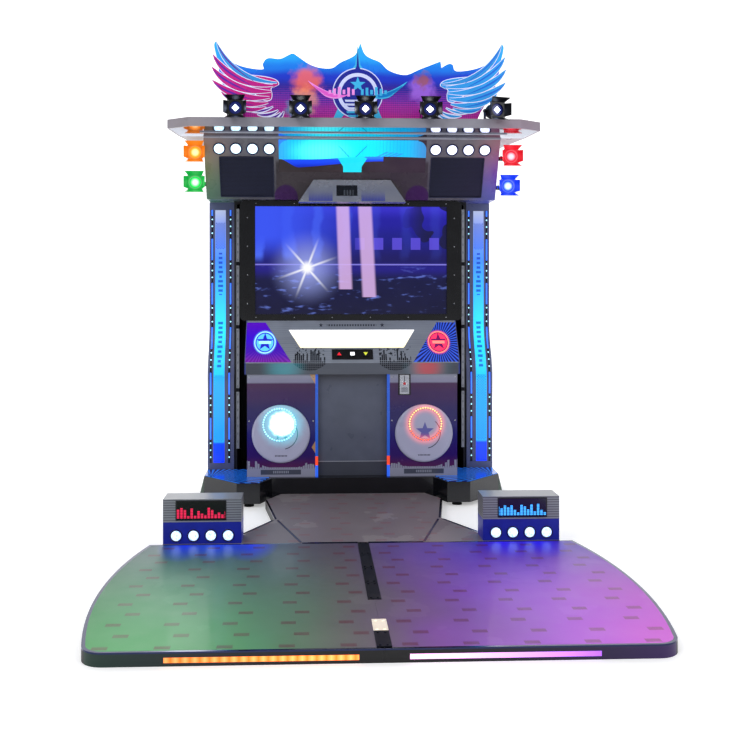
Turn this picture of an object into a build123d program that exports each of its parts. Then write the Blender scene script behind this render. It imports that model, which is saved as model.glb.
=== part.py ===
from build123d import *
import os

# Dance rhythm machine: cabinet with screen, columns, header and canopy, and a low stage
# in front. Sizes in millimetres. "ahead" is the distance in front of the screen plane,
# towards -Y; the origin is under the middle of the whole machine's box.

# overall
stage_front_ahead = 2727
cabinet_back_ahead = -450
screen_y = (stage_front_ahead + cabinet_back_ahead) / 2
sheet = 4
panel = 12
gap = 0.4
small_gap = 0.3

# stage, neck and their deck
stage_height = 50
deck_thickness = 6
stage_rear_ahead = 1352
stage_corner_half = 1035
stage_bulge_half = 1120
stage_corner_radius = 88
trim_width = 12
trim_thickness = 1.5
led_bar_inner = 88
led_bar_outer = 757
led_bar_low = 12
led_bar_high = 30
led_bar_depth = 8
neck_rear_half = 435
neck_hip_half = 522
neck_hip_ahead = 400
neck_waist_half = 450
neck_waist_ahead = 862
neck_seam_half = 309
wedge_rear_half = 595
wedge_rear_ahead = 1180
joint_plate_half = 27
joint_plate_thickness = 3
joint_plate_length = 214
joint_plate_count = 4
joint_plate_gap = 2
bright_plate_ahead = 2440
bright_plate_length = 121
screw_radius = 4
screw_height = 2

# floor light boxes
floor_box_inner = 593
floor_box_outer = 973
floor_box_rear_ahead = 1196
floor_box_front_ahead = 1341
floor_box_lower_height = 105
floor_box_height = 217
floor_lamp_radius = 28.5
floor_lamp_height = 40
floor_lamp_pitch = 84
floor_lamp_depth = 12
floor_lamp_proud = 4

# plinth
foot_height = 24
plinth_top = 146
plinth_wall = 15
plinth_half = 908
plinth_front_half = 490
plinth_front_ahead = 229
plinth_nose_inner = 555
plinth_nose_outer = 692
plinth_nose_ahead = 378
plinth_side_ahead = 140
foot_radius = 30
foot_stem_radius = 10
foot_disc_height = 8
skirt_flare = 28
skirt_low = 30
top_panel_thickness = 3

# columns
column_inner = 742
column_outer = plinth_half
column_top = 1850
column_low_ahead = -59
column_high_ahead = -164
curve_low = 710
curve_high = 1090
light_inner = 803
light_outer = 871
light_low = 190
light_high = 1800
light_recess = 6
light_thickness = 5
led_strip_width = 12
led_strip_thickness = 3

# carcass and rear door
carcass_front_ahead = -75
carcass_wall = 18
beam_height = 50
beam_depth = 20
door_half = 448
door_low = 300
door_high = 1500
door_clearance = 8
door_thickness = 12
hinge_radius = 3
hinge_pin_radius = 1.5
hinge_fit = 0.05
knuckle_length = 60
lock_radius = 10

# screen
bezel_half = 700
bezel_low = 1093
bezel_high = 1848
bezel_front_ahead = 6
bezel_corner = 30
screen_face_ahead = -14
screen_width = 1210
screen_height = 680
screen_mid_z = 1472
glass_thickness = 6
set_half = 640
set_depth = 70
rail_inner = 708
rail_width = 18
rail_depth = 25
rail_low = 280
rail_high = 1800

# bass boxes and centre panel
bass_inner = 228
bass_outer = 643
bass_top = 771
bass_front_ahead = 190
bass_wall = 15
disc_x = 437
disc_z = 408
disc_radius = 177
disc_thickness = 12
ring_x = 446
ring_z = 466
ring_radius = 105
ring_width = 14
ring_thickness = 4
woofer_radius = 150
woofer_depth = 120
woofer_hole_radius = 135
edge_strip_width = 17
edge_strip_depth = 20
centre_recess = 38

# coin plate
coin_mid_x = 317.5
coin_surround_width = 75
coin_surround_height = 128
coin_plate_width = 57
coin_plate_height = 117
coin_thickness = 4
coin_slot_width = 4
coin_slot_height = 30
coin_slot_z = 744
return_button_radius = 8
return_button_z = 713
return_button_travel = 3
return_button_proud = 4
cup_width = 40
cup_height = 28
cup_depth = 30
cup_low = 660
cup_wall = 2
flap_thickness = 2
flap_pin_radius = 1.5

# console
console_half = 658
console_top = 1092.7
console_top_ahead = 20
console_edge_ahead = 200
console_edge_z = 840
console_wall = 10
lamp_top_half = 393
lamp_bottom_half = 319
lamp_top_share = 0.222
lamp_bottom_share = 0.648
corner_top_half = 537
corner_bottom_half = 373
corner_top_share = 0.044
corner_bottom_share = 0.98
lens_depth = 4
lens_thickness = 3
button_plate_half = 126
button_plate_top_share = 0.692
button_plate_bottom_share = 0.923
button_plate_thickness = 5
button_size = 36
button_pitch = 81
button_travel = 3
button_proud = 6
button_flange = 4
button_flange_thickness = 2

# header
header_half = 902
header_bottom = 1850
header_top = 2205
header_bottom_ahead = 56
header_top_ahead = 236
header_wall = 12
lightbox_half = 450
lightbox_low = 2013
lightbox_high = 2196
lightbox_thickness = 8
lightbox_recess = 4
grille_inner = 485
grille_outer = 811
grille_low = 1866
grille_high = 2097
grille_thickness = 3
header_lamp_x = [508, 609, 710, 811]
header_lamp_z = 2142
header_lamp_radius = 37
header_lamp_depth = 16
header_lamp_proud = 6
tweeter_radius = 82
tweeter_depth = 70
tweeter_hole_radius = 72
tweeter_z = 1985
tweeter_x = 648

# sensor hood and sensor
hood_top_half = 238
hood_bottom_half = 330
hood_top = 1966
hood_bottom = 1825
hood_bottom_ahead = 165
window_low_x = -98
window_high_x = 32
window_low = 1864
window_high = 1931
sensor_back_ahead = 96
sensor_front_ahead = 122
sensor_top = 1925

# canopy and board
canopy_top = 2256
canopy_front_half = 940
canopy_front_ahead = 637
canopy_tip_half = 1072
canopy_tip_ahead = 542
canopy_side_half = 1044
canopy_side_ahead = 274
canopy_rear_half = 915
mirror_margin = 14
mirror_thickness = 3
board_ahead = 500
board_thickness = 12

# barn-door lamps
lamp_count = 5
lamp_row_middle = 52
lamp_pitch = 364
lamp_ahead = 612
side_lamp_ahead = 142
side_lamp_places = [(-956, 2120), (-956, 1938), (975, 2106), (956, 1924)]
can_radius = 40
can_wall = 2
can_taper = 7
can_taper_length = 20
can_back = 35
can_front = 55
yoke_clearance = 8
yoke_foot_clearance = 7
yoke_thickness = 3
yoke_width = 24
stud_radius = 6
stud_fit = 0.05
frame_lip = 5
frame_rim = 4
head_lens_inset = 4
head_lens_thickness = 6
frame_depth = 7
leaf_length = 48
wide_leaf_margin = 3
wide_leaf_flare = 16
narrow_leaf_margin = 7
narrow_leaf_taper = 4
leaf_spread = 25
leaf_thickness = 1.5
last_lamp_turn = 18

os.makedirs("parts", exist_ok=True)


def y_at(ahead):
    return screen_y - ahead


def block(x_low, x_high, ahead_low, ahead_high, z_low, z_high):
    size = Box(x_high - x_low, ahead_high - ahead_low, z_high - z_low)
    middle_y = y_at((ahead_low + ahead_high) / 2)
    return Pos((x_low + x_high) / 2, middle_y, (z_low + z_high) / 2) * size


def plan_prism(points, z_low, z_high):
    corners = [(x, y_at(ahead), z_low) for x, ahead in points]
    face = make_face(Polyline(*corners, close=True))
    return extrude(face, amount=z_high - z_low, dir=(0, 0, 1))


def side_prism(points, x_low, x_high):
    corners = [(x_low, y_at(ahead), z) for ahead, z in points]
    face = make_face(Polyline(*corners, close=True))
    return extrude(face, amount=x_high - x_low, dir=(1, 0, 0))


def front_prism(points, ahead_low, ahead_high):
    corners = [(x, y_at(ahead_low), z) for x, z in points]
    face = make_face(Polyline(*corners, close=True))
    return extrude(face, amount=ahead_high - ahead_low, dir=(0, -1, 0))


def front_disc(x, z, radius, ahead_low, ahead_high):
    turned = Plane(origin=(x, y_at(ahead_low), z), x_dir=(1, 0, 0), z_dir=(0, -1, 0))
    return turned * Cylinder(radius, ahead_high - ahead_low,
                             align=(Align.CENTER, Align.CENTER, Align.MIN))


def both_sides(shape):
    return [shape, mirror(shape, about=Plane.YZ)]


def save(node, shapes):
    pieces = [solid for shape in shapes for solid in shape.solids()]
    whole = pieces[0] if len(pieces) == 1 else Compound(children=pieces)
    export_step(whole, f"parts/{node}.step")


# ---- stage ----
def stage_outline(z_low, z_high, inset):
    """Barrel-sided stage between its rear line and its front edge."""
    rear = y_at(stage_rear_ahead + inset)
    front = y_at(stage_front_ahead - inset)
    side = stage_corner_half - inset
    bulge = stage_bulge_half - inset
    middle = (rear + front) / 2
    edges = [
        Line((-side, rear, z_low), (side, rear, z_low)),
        ThreePointArc((side, rear, z_low), (bulge, middle, z_low), (side, front, z_low)),
        Line((side, front, z_low), (-side, front, z_low)),
        ThreePointArc((-side, front, z_low), (-bulge, middle, z_low), (-side, rear, z_low)),
    ]
    plan = make_face(edges)
    front_corners = plan.vertices().sort_by(Axis.Y)[:2]
    plan = fillet(front_corners, stage_corner_radius - inset)
    return extrude(plan, amount=z_high - z_low, dir=(0, 0, 1))


deck_low = stage_height - deck_thickness
left_half = block(-2 * stage_bulge_half, -small_gap, 0, 2 * stage_front_ahead, -1, 2 * stage_height)
right_half = mirror(left_half, about=Plane.YZ)


def halves(shape):
    return [shape & left_half, shape & right_half]


stage_board = stage_outline(0, deck_low, 0)
led_bar_slots = both_sides(block(led_bar_inner, led_bar_outer, stage_front_ahead - led_bar_depth,
                                 stage_front_ahead + 1, led_bar_low, led_bar_high))
for slot in led_bar_slots:
    stage_board -= slot

neck_points = [
    (-neck_rear_half, plinth_front_ahead), (-neck_hip_half, neck_hip_ahead),
    (-neck_waist_half, neck_waist_ahead), (-neck_seam_half, stage_rear_ahead),
    (neck_seam_half, stage_rear_ahead), (neck_waist_half, neck_waist_ahead),
    (neck_hip_half, neck_hip_ahead), (neck_rear_half, plinth_front_ahead),
]
wedge_points = [
    (neck_waist_half, neck_waist_ahead), (wedge_rear_half, wedge_rear_ahead),
    (floor_box_outer, wedge_rear_ahead), (floor_box_outer, stage_rear_ahead),
    (neck_seam_half, stage_rear_ahead),
]


save("stage_frame", halves(stage_board) + [plan_prism(neck_points, 0, deck_low)]
     + both_sides(plan_prism(wedge_points, 0, deck_low)))
save("stage_deck", halves(stage_outline(deck_low, stage_height, trim_width)))
save("neck_deck", [plan_prism(neck_points, deck_low, stage_height)]
     + both_sides(plan_prism(wedge_points, deck_low, stage_height)))


def floor_strip(start, finish, inward):
    """Thin cover strip along a line of the plan, on its inward side."""
    direction = Vector(finish[0] - start[0], finish[1] - start[1]).normalized()
    side = Vector(-direction.Y, direction.X) * inward * trim_width
    corners = [start, finish, (finish[0] + side.X, finish[1] + side.Y),
               (start[0] + side.X, start[1] + side.Y)]
    return plan_prism(corners, stage_height, stage_height + trim_thickness)


stage_band = stage_outline(deck_low, stage_height, 0) - stage_outline(deck_low - 1, stage_height + 1, trim_width)
hip_strip = floor_strip((neck_hip_half, neck_hip_ahead), (neck_waist_half, neck_waist_ahead), 1)
seam_strip = floor_strip((neck_waist_half - trim_width, neck_waist_ahead + 30),
                         (neck_seam_half, stage_rear_ahead - trim_width), 1)
wedge_strip = floor_strip((neck_waist_half + 3, neck_waist_ahead + 30),
                          (wedge_rear_half - 3, wedge_rear_ahead - trim_width), -1)
rear_strips = both_sides(block(joint_plate_half, neck_seam_half - trim_width,
                               stage_rear_ahead - trim_width, stage_rear_ahead,
                               stage_height, stage_height + trim_thickness))
save("stage_trim", halves(stage_band) + both_sides(hip_strip) + both_sides(seam_strip)
     + both_sides(wedge_strip) + rear_strips)
save("stage_led_bars", both_sides(block(led_bar_inner, led_bar_outer,
                                        stage_front_ahead - led_bar_depth,
                                        stage_front_ahead, led_bar_low, led_bar_high)))

plate_low = stage_height
plate_high = stage_height + joint_plate_thickness
joint_plates = []
plate_spans = []
for index in range(joint_plate_count):
    start = stage_rear_ahead + index * joint_plate_length + joint_plate_gap
    plate_spans.append((start, start + joint_plate_length - joint_plate_gap))
plate_spans.append((bright_plate_ahead, bright_plate_ahead + bright_plate_length))
plate_spans.append((bright_plate_ahead + bright_plate_length + joint_plate_gap,
                    stage_front_ahead - trim_width))
for start, finish in plate_spans:
    joint_plates.append(block(-joint_plate_half, joint_plate_half, start, finish,
                              plate_low, plate_high))
    for x in (-joint_plate_half / 2, joint_plate_half / 2):
        for ahead in (start + 4 * screw_radius, finish - 4 * screw_radius):
            screw = Cylinder(screw_radius, screw_height,
                             align=(Align.CENTER, Align.CENTER, Align.MIN))
            joint_plates.append(Pos(x, y_at(ahead), plate_high) * screw)
save("joint_plates", joint_plates)


# ---- floor light boxes ----
floor_box_split = stage_height + floor_box_lower_height
floor_box_top = stage_height + floor_box_height
floor_lamp_z = stage_height + floor_lamp_height
floor_box_middle = (floor_box_inner + floor_box_outer) / 2
floor_lamp_xs = [floor_box_middle + (index - 1.5) * floor_lamp_pitch for index in range(4)]
floor_box_base = block(floor_box_inner, floor_box_outer, floor_box_rear_ahead,
                       floor_box_front_ahead, stage_height, floor_box_split)
floor_box_base -= block(floor_box_inner + sheet, floor_box_outer - sheet,
                        floor_box_rear_ahead + sheet, floor_box_front_ahead - floor_lamp_depth,
                        stage_height - 1, floor_box_split + 1)
floor_box_cover = block(floor_box_inner, floor_box_outer, floor_box_rear_ahead,
                        floor_box_front_ahead, floor_box_split, floor_box_top)
floor_box_cover -= block(floor_box_inner + sheet, floor_box_outer - sheet,
                         floor_box_rear_ahead + sheet, floor_box_front_ahead - sheet,
                         floor_box_split - 1, floor_box_top - sheet)
floor_lamps = []
for x in floor_lamp_xs:
    floor_box_base -= front_disc(x, floor_lamp_z, floor_lamp_radius + small_gap,
                                 floor_box_front_ahead - floor_lamp_depth + sheet,
                                 floor_box_front_ahead + 1)
    floor_lamps += both_sides(front_disc(x, floor_lamp_z, floor_lamp_radius,
                                         floor_box_front_ahead - floor_lamp_depth + sheet,
                                         floor_box_front_ahead + floor_lamp_proud))
save("floor_boxes", both_sides(floor_box_base) + both_sides(floor_box_cover))
save("floor_box_lamps", floor_lamps)


# ---- plinth ----
plinth_points = [
    (-plinth_half, cabinet_back_ahead), (-plinth_half, plinth_side_ahead),
    (-plinth_nose_outer, plinth_nose_ahead), (-plinth_nose_inner, plinth_nose_ahead),
    (-plinth_front_half, plinth_front_ahead), (plinth_front_half, plinth_front_ahead),
    (plinth_nose_inner, plinth_nose_ahead), (plinth_nose_outer, plinth_nose_ahead),
    (plinth_half, plinth_side_ahead), (plinth_half, cabinet_back_ahead),
]
foot_places = [(plinth_half - 60, cabinet_back_ahead + 60), (plinth_half - 60, plinth_side_ahead - 60),
               (plinth_nose_outer - 70, plinth_nose_ahead - 60)]
plinth_face = make_face(Polyline(*[(x, y_at(ahead), foot_height) for x, ahead in plinth_points],
                                 close=True))
plinth_inner = offset(plinth_face, amount=-plinth_wall, kind=Kind.INTERSECTION)
base_plinth = extrude(plinth_face, amount=plinth_top - foot_height, dir=(0, 0, 1))
base_plinth -= extrude(plinth_inner, amount=plinth_top - foot_height - plinth_wall, dir=(0, 0, 1))
feet = []
for x, ahead in foot_places:
    for side in (-1, 1):
        pad = Cylinder(foot_radius, plinth_top - plinth_wall - foot_height,
                       align=(Align.CENTER, Align.CENTER, Align.MIN))
        base_plinth += Pos(side * x, y_at(ahead), foot_height) * pad
        disc = Cylinder(foot_radius, foot_disc_height,
                        align=(Align.CENTER, Align.CENTER, Align.MIN))
        stem = Cylinder(foot_stem_radius, foot_height - foot_disc_height,
                        align=(Align.CENTER, Align.CENTER, Align.MIN))
        foot = disc + Pos(0, 0, foot_disc_height) * stem
        feet.append(Pos(side * x, y_at(ahead), 0) * foot)
save("base_plinth", [base_plinth])
save("levelling_feet", feet)

skirt_face = [(plinth_half, plinth_top), (plinth_half + skirt_flare, skirt_low),
              (plinth_half, skirt_low)]
skirt_rear = cabinet_back_ahead + 20
skirt_front = plinth_side_ahead - 10
save("side_skirts", both_sides(front_prism(skirt_face, skirt_rear, skirt_front)))

wing_points = [
    (plinth_front_half + 15, bass_front_ahead + 6), (plinth_nose_inner + 7, plinth_nose_ahead - 8),
    (plinth_nose_outer - 4, plinth_nose_ahead - 8), (plinth_half - 6, plinth_side_ahead - 4),
    (plinth_half - 6, column_low_ahead + 6), (bass_outer + 6, column_low_ahead + 6),
    (bass_outer + 6, bass_front_ahead + 6),
]
save("plinth_top_panels", both_sides(plan_prism(wing_points, plinth_top,
                                                plinth_top + top_panel_thickness)))


# ---- columns ----
def column_solid(x_low, x_high, set_back, z_low, z_high):
    """Column section with its S-shaped front, moved back by set_back."""
    rear = y_at(cabinet_back_ahead)
    low = y_at(column_low_ahead - set_back)
    high = y_at(column_high_ahead - set_back)
    bend_low = (x_low, low, curve_low)
    bend_high = (x_low, high, curve_high)
    edges = [
        Line((x_low, rear, plinth_top), (x_low, low, plinth_top)),
        Line((x_low, low, plinth_top), bend_low),
        Spline(bend_low, bend_high, tangents=[(0, 0, 1), (0, 0, 1)]),
        Line(bend_high, (x_low, high, column_top)),
        Line((x_low, high, column_top), (x_low, rear, column_top)),
        Line((x_low, rear, column_top), (x_low, rear, plinth_top)),
    ]
    whole = extrude(make_face(edges), amount=x_high - x_low, dir=(1, 0, 0))
    return whole & block(x_low, x_high, cabinet_back_ahead, 0, z_low, z_high)


column = column_solid(column_inner, column_outer, 0, plinth_top, column_top)
column_void = column_solid(column_inner + panel, column_outer - panel, 2 * panel,
                           plinth_top - 1, column_top - panel)
column -= column_void & block(column_inner, column_outer, cabinet_back_ahead + panel, 0,
                              plinth_top, column_top - panel)
light_front = column_solid(light_inner, light_outer, 0, light_low, light_high)
column -= light_front - column_solid(light_inner, light_outer, light_recess, light_low, light_high)
light_panel = column_solid(light_inner, light_outer, light_recess - light_thickness, light_low, light_high)
light_panel -= column_solid(light_inner, light_outer, light_recess, light_low, light_high)
save("column_frames", both_sides(column))
save("column_light_panels", both_sides(light_panel))


def dot_strip(x_low):
    """Flat LED strip that follows the column's front."""
    outer = column_solid(x_low, x_low + led_strip_width, -led_strip_thickness, light_low, light_high)
    return outer - column_solid(x_low, x_low + led_strip_width, 0, light_low, light_high)


inner_strip_low = (column_inner + light_inner - led_strip_width) / 2
outer_strip_low = (light_outer + column_outer - led_strip_width) / 2
dot_strips = both_sides(dot_strip(inner_strip_low)) + both_sides(dot_strip(outer_strip_low))
edge_strip = block(bass_inner - edge_strip_width, bass_inner, bass_front_ahead - edge_strip_depth,
                   bass_front_ahead, plinth_top, bass_top)
save("led_strips", dot_strips + both_sides(edge_strip))


# ---- carcass and rear door ----
carcass = block(-column_inner, column_inner, cabinet_back_ahead, carcass_front_ahead,
                plinth_top, header_bottom)
carcass -= block(-column_inner + carcass_wall, column_inner - carcass_wall,
                 cabinet_back_ahead + carcass_wall, carcass_front_ahead + 1,
                 plinth_top - 1, header_bottom - carcass_wall)
carcass -= block(-door_half - door_clearance, door_half + door_clearance,
                 cabinet_back_ahead - 1, cabinet_back_ahead + carcass_wall + 1, door_low, door_high)
beam_front_ahead = screen_face_ahead - set_depth
beam_heights = [screen_mid_z - 3 * beam_height, screen_mid_z + 2 * beam_height]
for z in beam_heights:
    carcass += block(-column_inner + carcass_wall, column_inner - carcass_wall,
                     beam_front_ahead - beam_depth, beam_front_ahead, z, z + beam_height)

hinge_x = door_half + door_clearance / 2
hinge_ahead = cabinet_back_ahead + hinge_radius
door_face_ahead = hinge_ahead
door = block(-door_half, door_half, door_face_ahead, door_face_ahead + door_thickness,
             door_low + door_clearance, door_high - door_clearance)
hinge_heights = [door_low + 150, (door_low + door_high) / 2, door_high - 150]


def upright(x, ahead, radius, z_low, z_high):
    rod = Cylinder(radius, z_high - z_low, align=(Align.CENTER, Align.CENTER, Align.MIN))
    return Pos(x, y_at(ahead), z_low) * rod


for z in hinge_heights:
    knuckle = upright(hinge_x, hinge_ahead, hinge_radius, z - knuckle_length / 2, z + knuckle_length / 2)
    leaf = block(hinge_x - 5 * hinge_radius, hinge_x, hinge_ahead - hinge_radius / 2, hinge_ahead,
                 z - knuckle_length / 2, z + knuckle_length / 2)
    bore = upright(hinge_x, hinge_ahead, hinge_pin_radius + hinge_fit, z - knuckle_length, z + knuckle_length)
    door = door + knuckle + leaf - bore
    for low in (z - knuckle_length, z + knuckle_length / 2 + gap):
        high = low + knuckle_length / 2 - gap
        carcass += upright(hinge_x, hinge_ahead, hinge_radius, low, high)
        carcass += block(hinge_x, hinge_x + 6 * hinge_radius, hinge_ahead - hinge_radius,
                         hinge_ahead, low, high)
    carcass += upright(hinge_x, hinge_ahead, hinge_pin_radius, z - knuckle_length, z + knuckle_length)
lock_z = (door_low + door_high) / 2
lock = front_disc(-door_half + 5 * lock_radius, lock_z, lock_radius,
                  door_face_ahead - 2, door_face_ahead)
save("cabinet_carcass", [carcass])
save("rear_door", [door, lock])


# ---- screen ----
bezel = block(-bezel_half, bezel_half, screen_face_ahead, bezel_front_ahead, bezel_low, bezel_high)
bezel = fillet(bezel.edges().filter_by(Axis.Y), bezel_corner)
screen_low = screen_mid_z - screen_height / 2
screen_high = screen_mid_z + screen_height / 2
bezel -= block(-screen_width / 2 - gap, screen_width / 2 + gap, screen_face_ahead - 1,
               bezel_front_ahead + 1, screen_low - gap, screen_high + gap)
save("tv_bezel", [bezel])
save("screen_glass", [block(-screen_width / 2, screen_width / 2, screen_face_ahead,
                            screen_face_ahead + glass_thickness, screen_low, screen_high)])
save("tv_set", [block(-set_half, set_half, beam_front_ahead, screen_face_ahead,
                      bezel_low + 20, bezel_high - 20)])
save("tv_rails", both_sides(block(rail_inner, rail_inner + rail_width, carcass_front_ahead,
                                  carcass_front_ahead + rail_depth, rail_low, rail_high)))


# ---- bass boxes ----
bass_box = block(bass_inner, bass_outer, carcass_front_ahead, bass_front_ahead, plinth_top, bass_top)
bass_box -= block(bass_inner + bass_wall, bass_outer - bass_wall, carcass_front_ahead - 1,
                  bass_front_ahead - bass_wall, plinth_top + bass_wall, bass_top - bass_wall)
bass_box -= front_disc(disc_x, disc_z, woofer_hole_radius, 0, bass_front_ahead + 1)
cup_wall_low = cup_low - cup_wall
cup_wall_high = cup_low + cup_height + cup_wall
cup_wall_half = cup_width / 2 + cup_wall
cup_hole = block(coin_mid_x - cup_wall_half - gap, coin_mid_x + cup_wall_half + gap,
                 bass_front_ahead - 2 * bass_wall, bass_front_ahead + 1,
                 cup_wall_low - gap, cup_wall_high + gap)
button_hole = front_disc(coin_mid_x, return_button_z, return_button_radius + 2,
                         bass_front_ahead - 2 * bass_wall, bass_front_ahead + 1)
slot_hole = block(coin_mid_x - coin_slot_width, coin_mid_x + coin_slot_width,
                  bass_front_ahead - 2 * bass_wall, bass_front_ahead + 1,
                  coin_slot_z - coin_slot_height / 2, coin_slot_z + coin_slot_height / 2)
right_bass_box = bass_box - cup_hole - button_hole - slot_hole
save("bass_boxes", [right_bass_box, mirror(bass_box, about=Plane.YZ)])

disc_front = bass_front_ahead + disc_thickness
save("bass_discs", both_sides(front_disc(disc_x, disc_z, disc_radius, bass_front_ahead, disc_front)))
ring = front_disc(ring_x, ring_z, ring_radius, disc_front, disc_front + ring_thickness)
ring -= front_disc(ring_x, ring_z, ring_radius - ring_width, disc_front - 1,
                   disc_front + ring_thickness + 1)
save("bass_led_rings", both_sides(ring))


def driver(x, z, radius, depth, mount_ahead):
    """Loudspeaker with its flange in front and magnet behind, facing forwards."""
    flange = front_disc(x, z, radius, mount_ahead - 6, mount_ahead)
    basket = front_disc(x, z, 0.87 * radius, mount_ahead - 0.6 * depth, mount_ahead - 6)
    magnet = front_disc(x, z, 0.5 * radius, mount_ahead - depth, mount_ahead - 0.6 * depth)
    dish = Plane(origin=(x, y_at(mount_ahead), z), x_dir=(1, 0, 0), z_dir=(0, 1, 0))
    cone = dish * Cone(0.8 * radius, 0.25 * radius, 0.4 * depth,
                       align=(Align.CENTER, Align.CENTER, Align.MIN))
    return flange + basket + magnet - cone


# ---- coin plate, return button and flap ----
coin_front = bass_front_ahead + coin_thickness
coin_face = coin_front + coin_thickness
surround = block(coin_mid_x - coin_surround_width / 2, coin_mid_x + coin_surround_width / 2,
                 bass_front_ahead, coin_front, bass_top - coin_surround_height, bass_top)
surround += block(coin_mid_x - cup_wall_half, coin_mid_x + cup_wall_half,
                  bass_front_ahead - cup_depth, bass_front_ahead, cup_wall_low, cup_wall_high)
coin_plate_low = bass_top - (coin_surround_height + coin_plate_height) / 2
plate = block(coin_mid_x - coin_plate_width / 2, coin_mid_x + coin_plate_width / 2,
              coin_front, coin_face, coin_plate_low, coin_plate_low + coin_plate_height)
cup_space = block(coin_mid_x - cup_width / 2, coin_mid_x + cup_width / 2,
                  bass_front_ahead - cup_depth + cup_wall, coin_face + 1, cup_low, cup_low + cup_height)
slot_space = block(coin_mid_x - coin_slot_width / 2, coin_mid_x + coin_slot_width / 2,
                   bass_front_ahead - cup_depth, coin_face + 1,
                   coin_slot_z - coin_slot_height / 2, coin_slot_z + coin_slot_height / 2)
button_space = front_disc(coin_mid_x, return_button_z, return_button_radius + small_gap,
                          bass_front_ahead - cup_depth, coin_face + 1)
flap_pin_z = cup_low + cup_height - flap_pin_radius - 2 * gap
flap_pin_ahead = coin_face - flap_pin_radius - gap
pin_reach = cup_width / 2 + cup_wall
flap_pin = Pos(coin_mid_x, y_at(flap_pin_ahead), flap_pin_z) * Rot(0, 90, 0) * Cylinder(
    flap_pin_radius, 2 * pin_reach)
pin_bore = Pos(coin_mid_x, y_at(flap_pin_ahead), flap_pin_z) * Rot(0, 90, 0) * Cylinder(
    flap_pin_radius + hinge_fit, 2 * pin_reach + gap)
flap = block(coin_mid_x - cup_width / 2 + gap, coin_mid_x + cup_width / 2 - gap,
             flap_pin_ahead - flap_thickness / 2, flap_pin_ahead + flap_thickness / 2,
             cup_low + gap, flap_pin_z)
save("coin_plate", [surround - cup_space - slot_space - button_space,
                    plate - cup_space - slot_space - button_space - pin_bore])
save("coin_return_flap", [flap + flap_pin])
return_button = front_disc(coin_mid_x, return_button_z, return_button_radius,
                           coin_front - coin_thickness, coin_face + return_button_proud)
return_flange = front_disc(coin_mid_x, return_button_z, return_button_radius + 1,
                           bass_front_ahead - sheet, bass_front_ahead)
save("coin_return_button", [return_button + return_flange])

save("centre_panel", [block(-bass_inner + 1, bass_inner - 1, bass_front_ahead - centre_recess - panel,
                            bass_front_ahead - centre_recess, plinth_top, bass_top)])


# ---- console ----
console_points = [
    (carcass_front_ahead, bass_top), (console_edge_ahead, bass_top),
    (console_edge_ahead, console_edge_z), (console_top_ahead, console_top),
    (carcass_front_ahead, console_top),
]
console = side_prism(console_points, -console_half, console_half)
console_slope = Vector(0, y_at(console_edge_ahead) - y_at(console_top_ahead),
                       console_edge_z - console_top)
slope_length = console_slope.length
slope_down = console_slope.normalized()
slope_out = Vector(0, slope_down.Z, -slope_down.Y)
slope_plane = Plane(origin=(0, y_at(console_top_ahead), console_top), x_dir=(1, 0, 0),
                    z_dir=(slope_out.X, slope_out.Y, slope_out.Z))


def slope_prism(points, height_low, height_high):
    """Prism on the console's slope: x across, share of the slope's length downwards."""
    corners = [(x, -share * slope_length) for x, share in points]
    face = slope_plane * (Pos(0, 0, height_low) * make_face(Polyline(*corners, close=True)))
    return extrude(face, amount=height_high - height_low, dir=slope_out)


console_void_points = [
    (carcass_front_ahead - 1, bass_top + console_wall),
    (console_edge_ahead - console_wall, bass_top + console_wall),
    (console_edge_ahead - console_wall, console_edge_z - console_wall / 2),
    (console_top_ahead - console_wall / 2, console_top - 1.5 * console_wall),
    (carcass_front_ahead - 1, console_top - 1.5 * console_wall),
]
console -= side_prism(console_void_points, -console_half + console_wall, console_half - console_wall)
lamp_shape = [(-lamp_top_half, lamp_top_share), (lamp_top_half, lamp_top_share),
              (lamp_bottom_half, lamp_bottom_share), (-lamp_bottom_half, lamp_bottom_share)]
corner_shape = [(corner_top_half, corner_top_share), (console_half - sheet, corner_top_share),
                (console_half - sheet, corner_bottom_share), (corner_bottom_half, corner_bottom_share)]
plate_shape = [(-button_plate_half, button_plate_top_share), (button_plate_half, button_plate_top_share),
               (button_plate_half, button_plate_bottom_share),
               (-button_plate_half, button_plate_bottom_share)]
console -= slope_prism(lamp_shape, -lens_depth, 1)
console_lights = [slope_prism(lamp_shape, -lens_depth, lens_thickness - lens_depth)]
for side in (1, -1):
    corner = [(side * x, share) for x, share in corner_shape]
    console -= slope_prism(corner, -lens_depth, 1)
    console_lights.append(slope_prism(corner, -lens_depth, lens_thickness - lens_depth))
button_plate = slope_prism(plate_shape, 0, button_plate_thickness)

button_share = (button_plate_top_share + button_plate_bottom_share) / 2
buttons = []
for index in (-1, 0, 1):
    centre = slope_plane * Pos(index * button_pitch, -button_share * slope_length, 0)
    cap_height = button_plate_thickness + button_proud
    cap = Box(button_size, button_size, cap_height + button_flange_thickness,
              align=(Align.CENTER, Align.CENTER, Align.MIN))
    flange_size = button_size + 2 * button_flange
    flange = Box(flange_size, flange_size, button_flange_thickness,
                 align=(Align.CENTER, Align.CENTER, Align.MIN))
    hole = Box(button_size + gap, button_size + gap, 4 * cap_height)
    pocket = Box(flange_size + 2, flange_size + 2, 4 * console_wall,
                 align=(Align.CENTER, Align.CENTER, Align.MAX))
    button_plate -= centre * hole
    console -= centre * pocket
    buttons.append(centre * (Pos(0, 0, -button_flange_thickness) * (cap + flange)))
save("console_shell", [console])
save("console_lights", console_lights)
save("button_plate", [button_plate])
for node, button in zip(("button_up", "button_select", "button_down"), buttons):
    save(node, [button])


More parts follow.
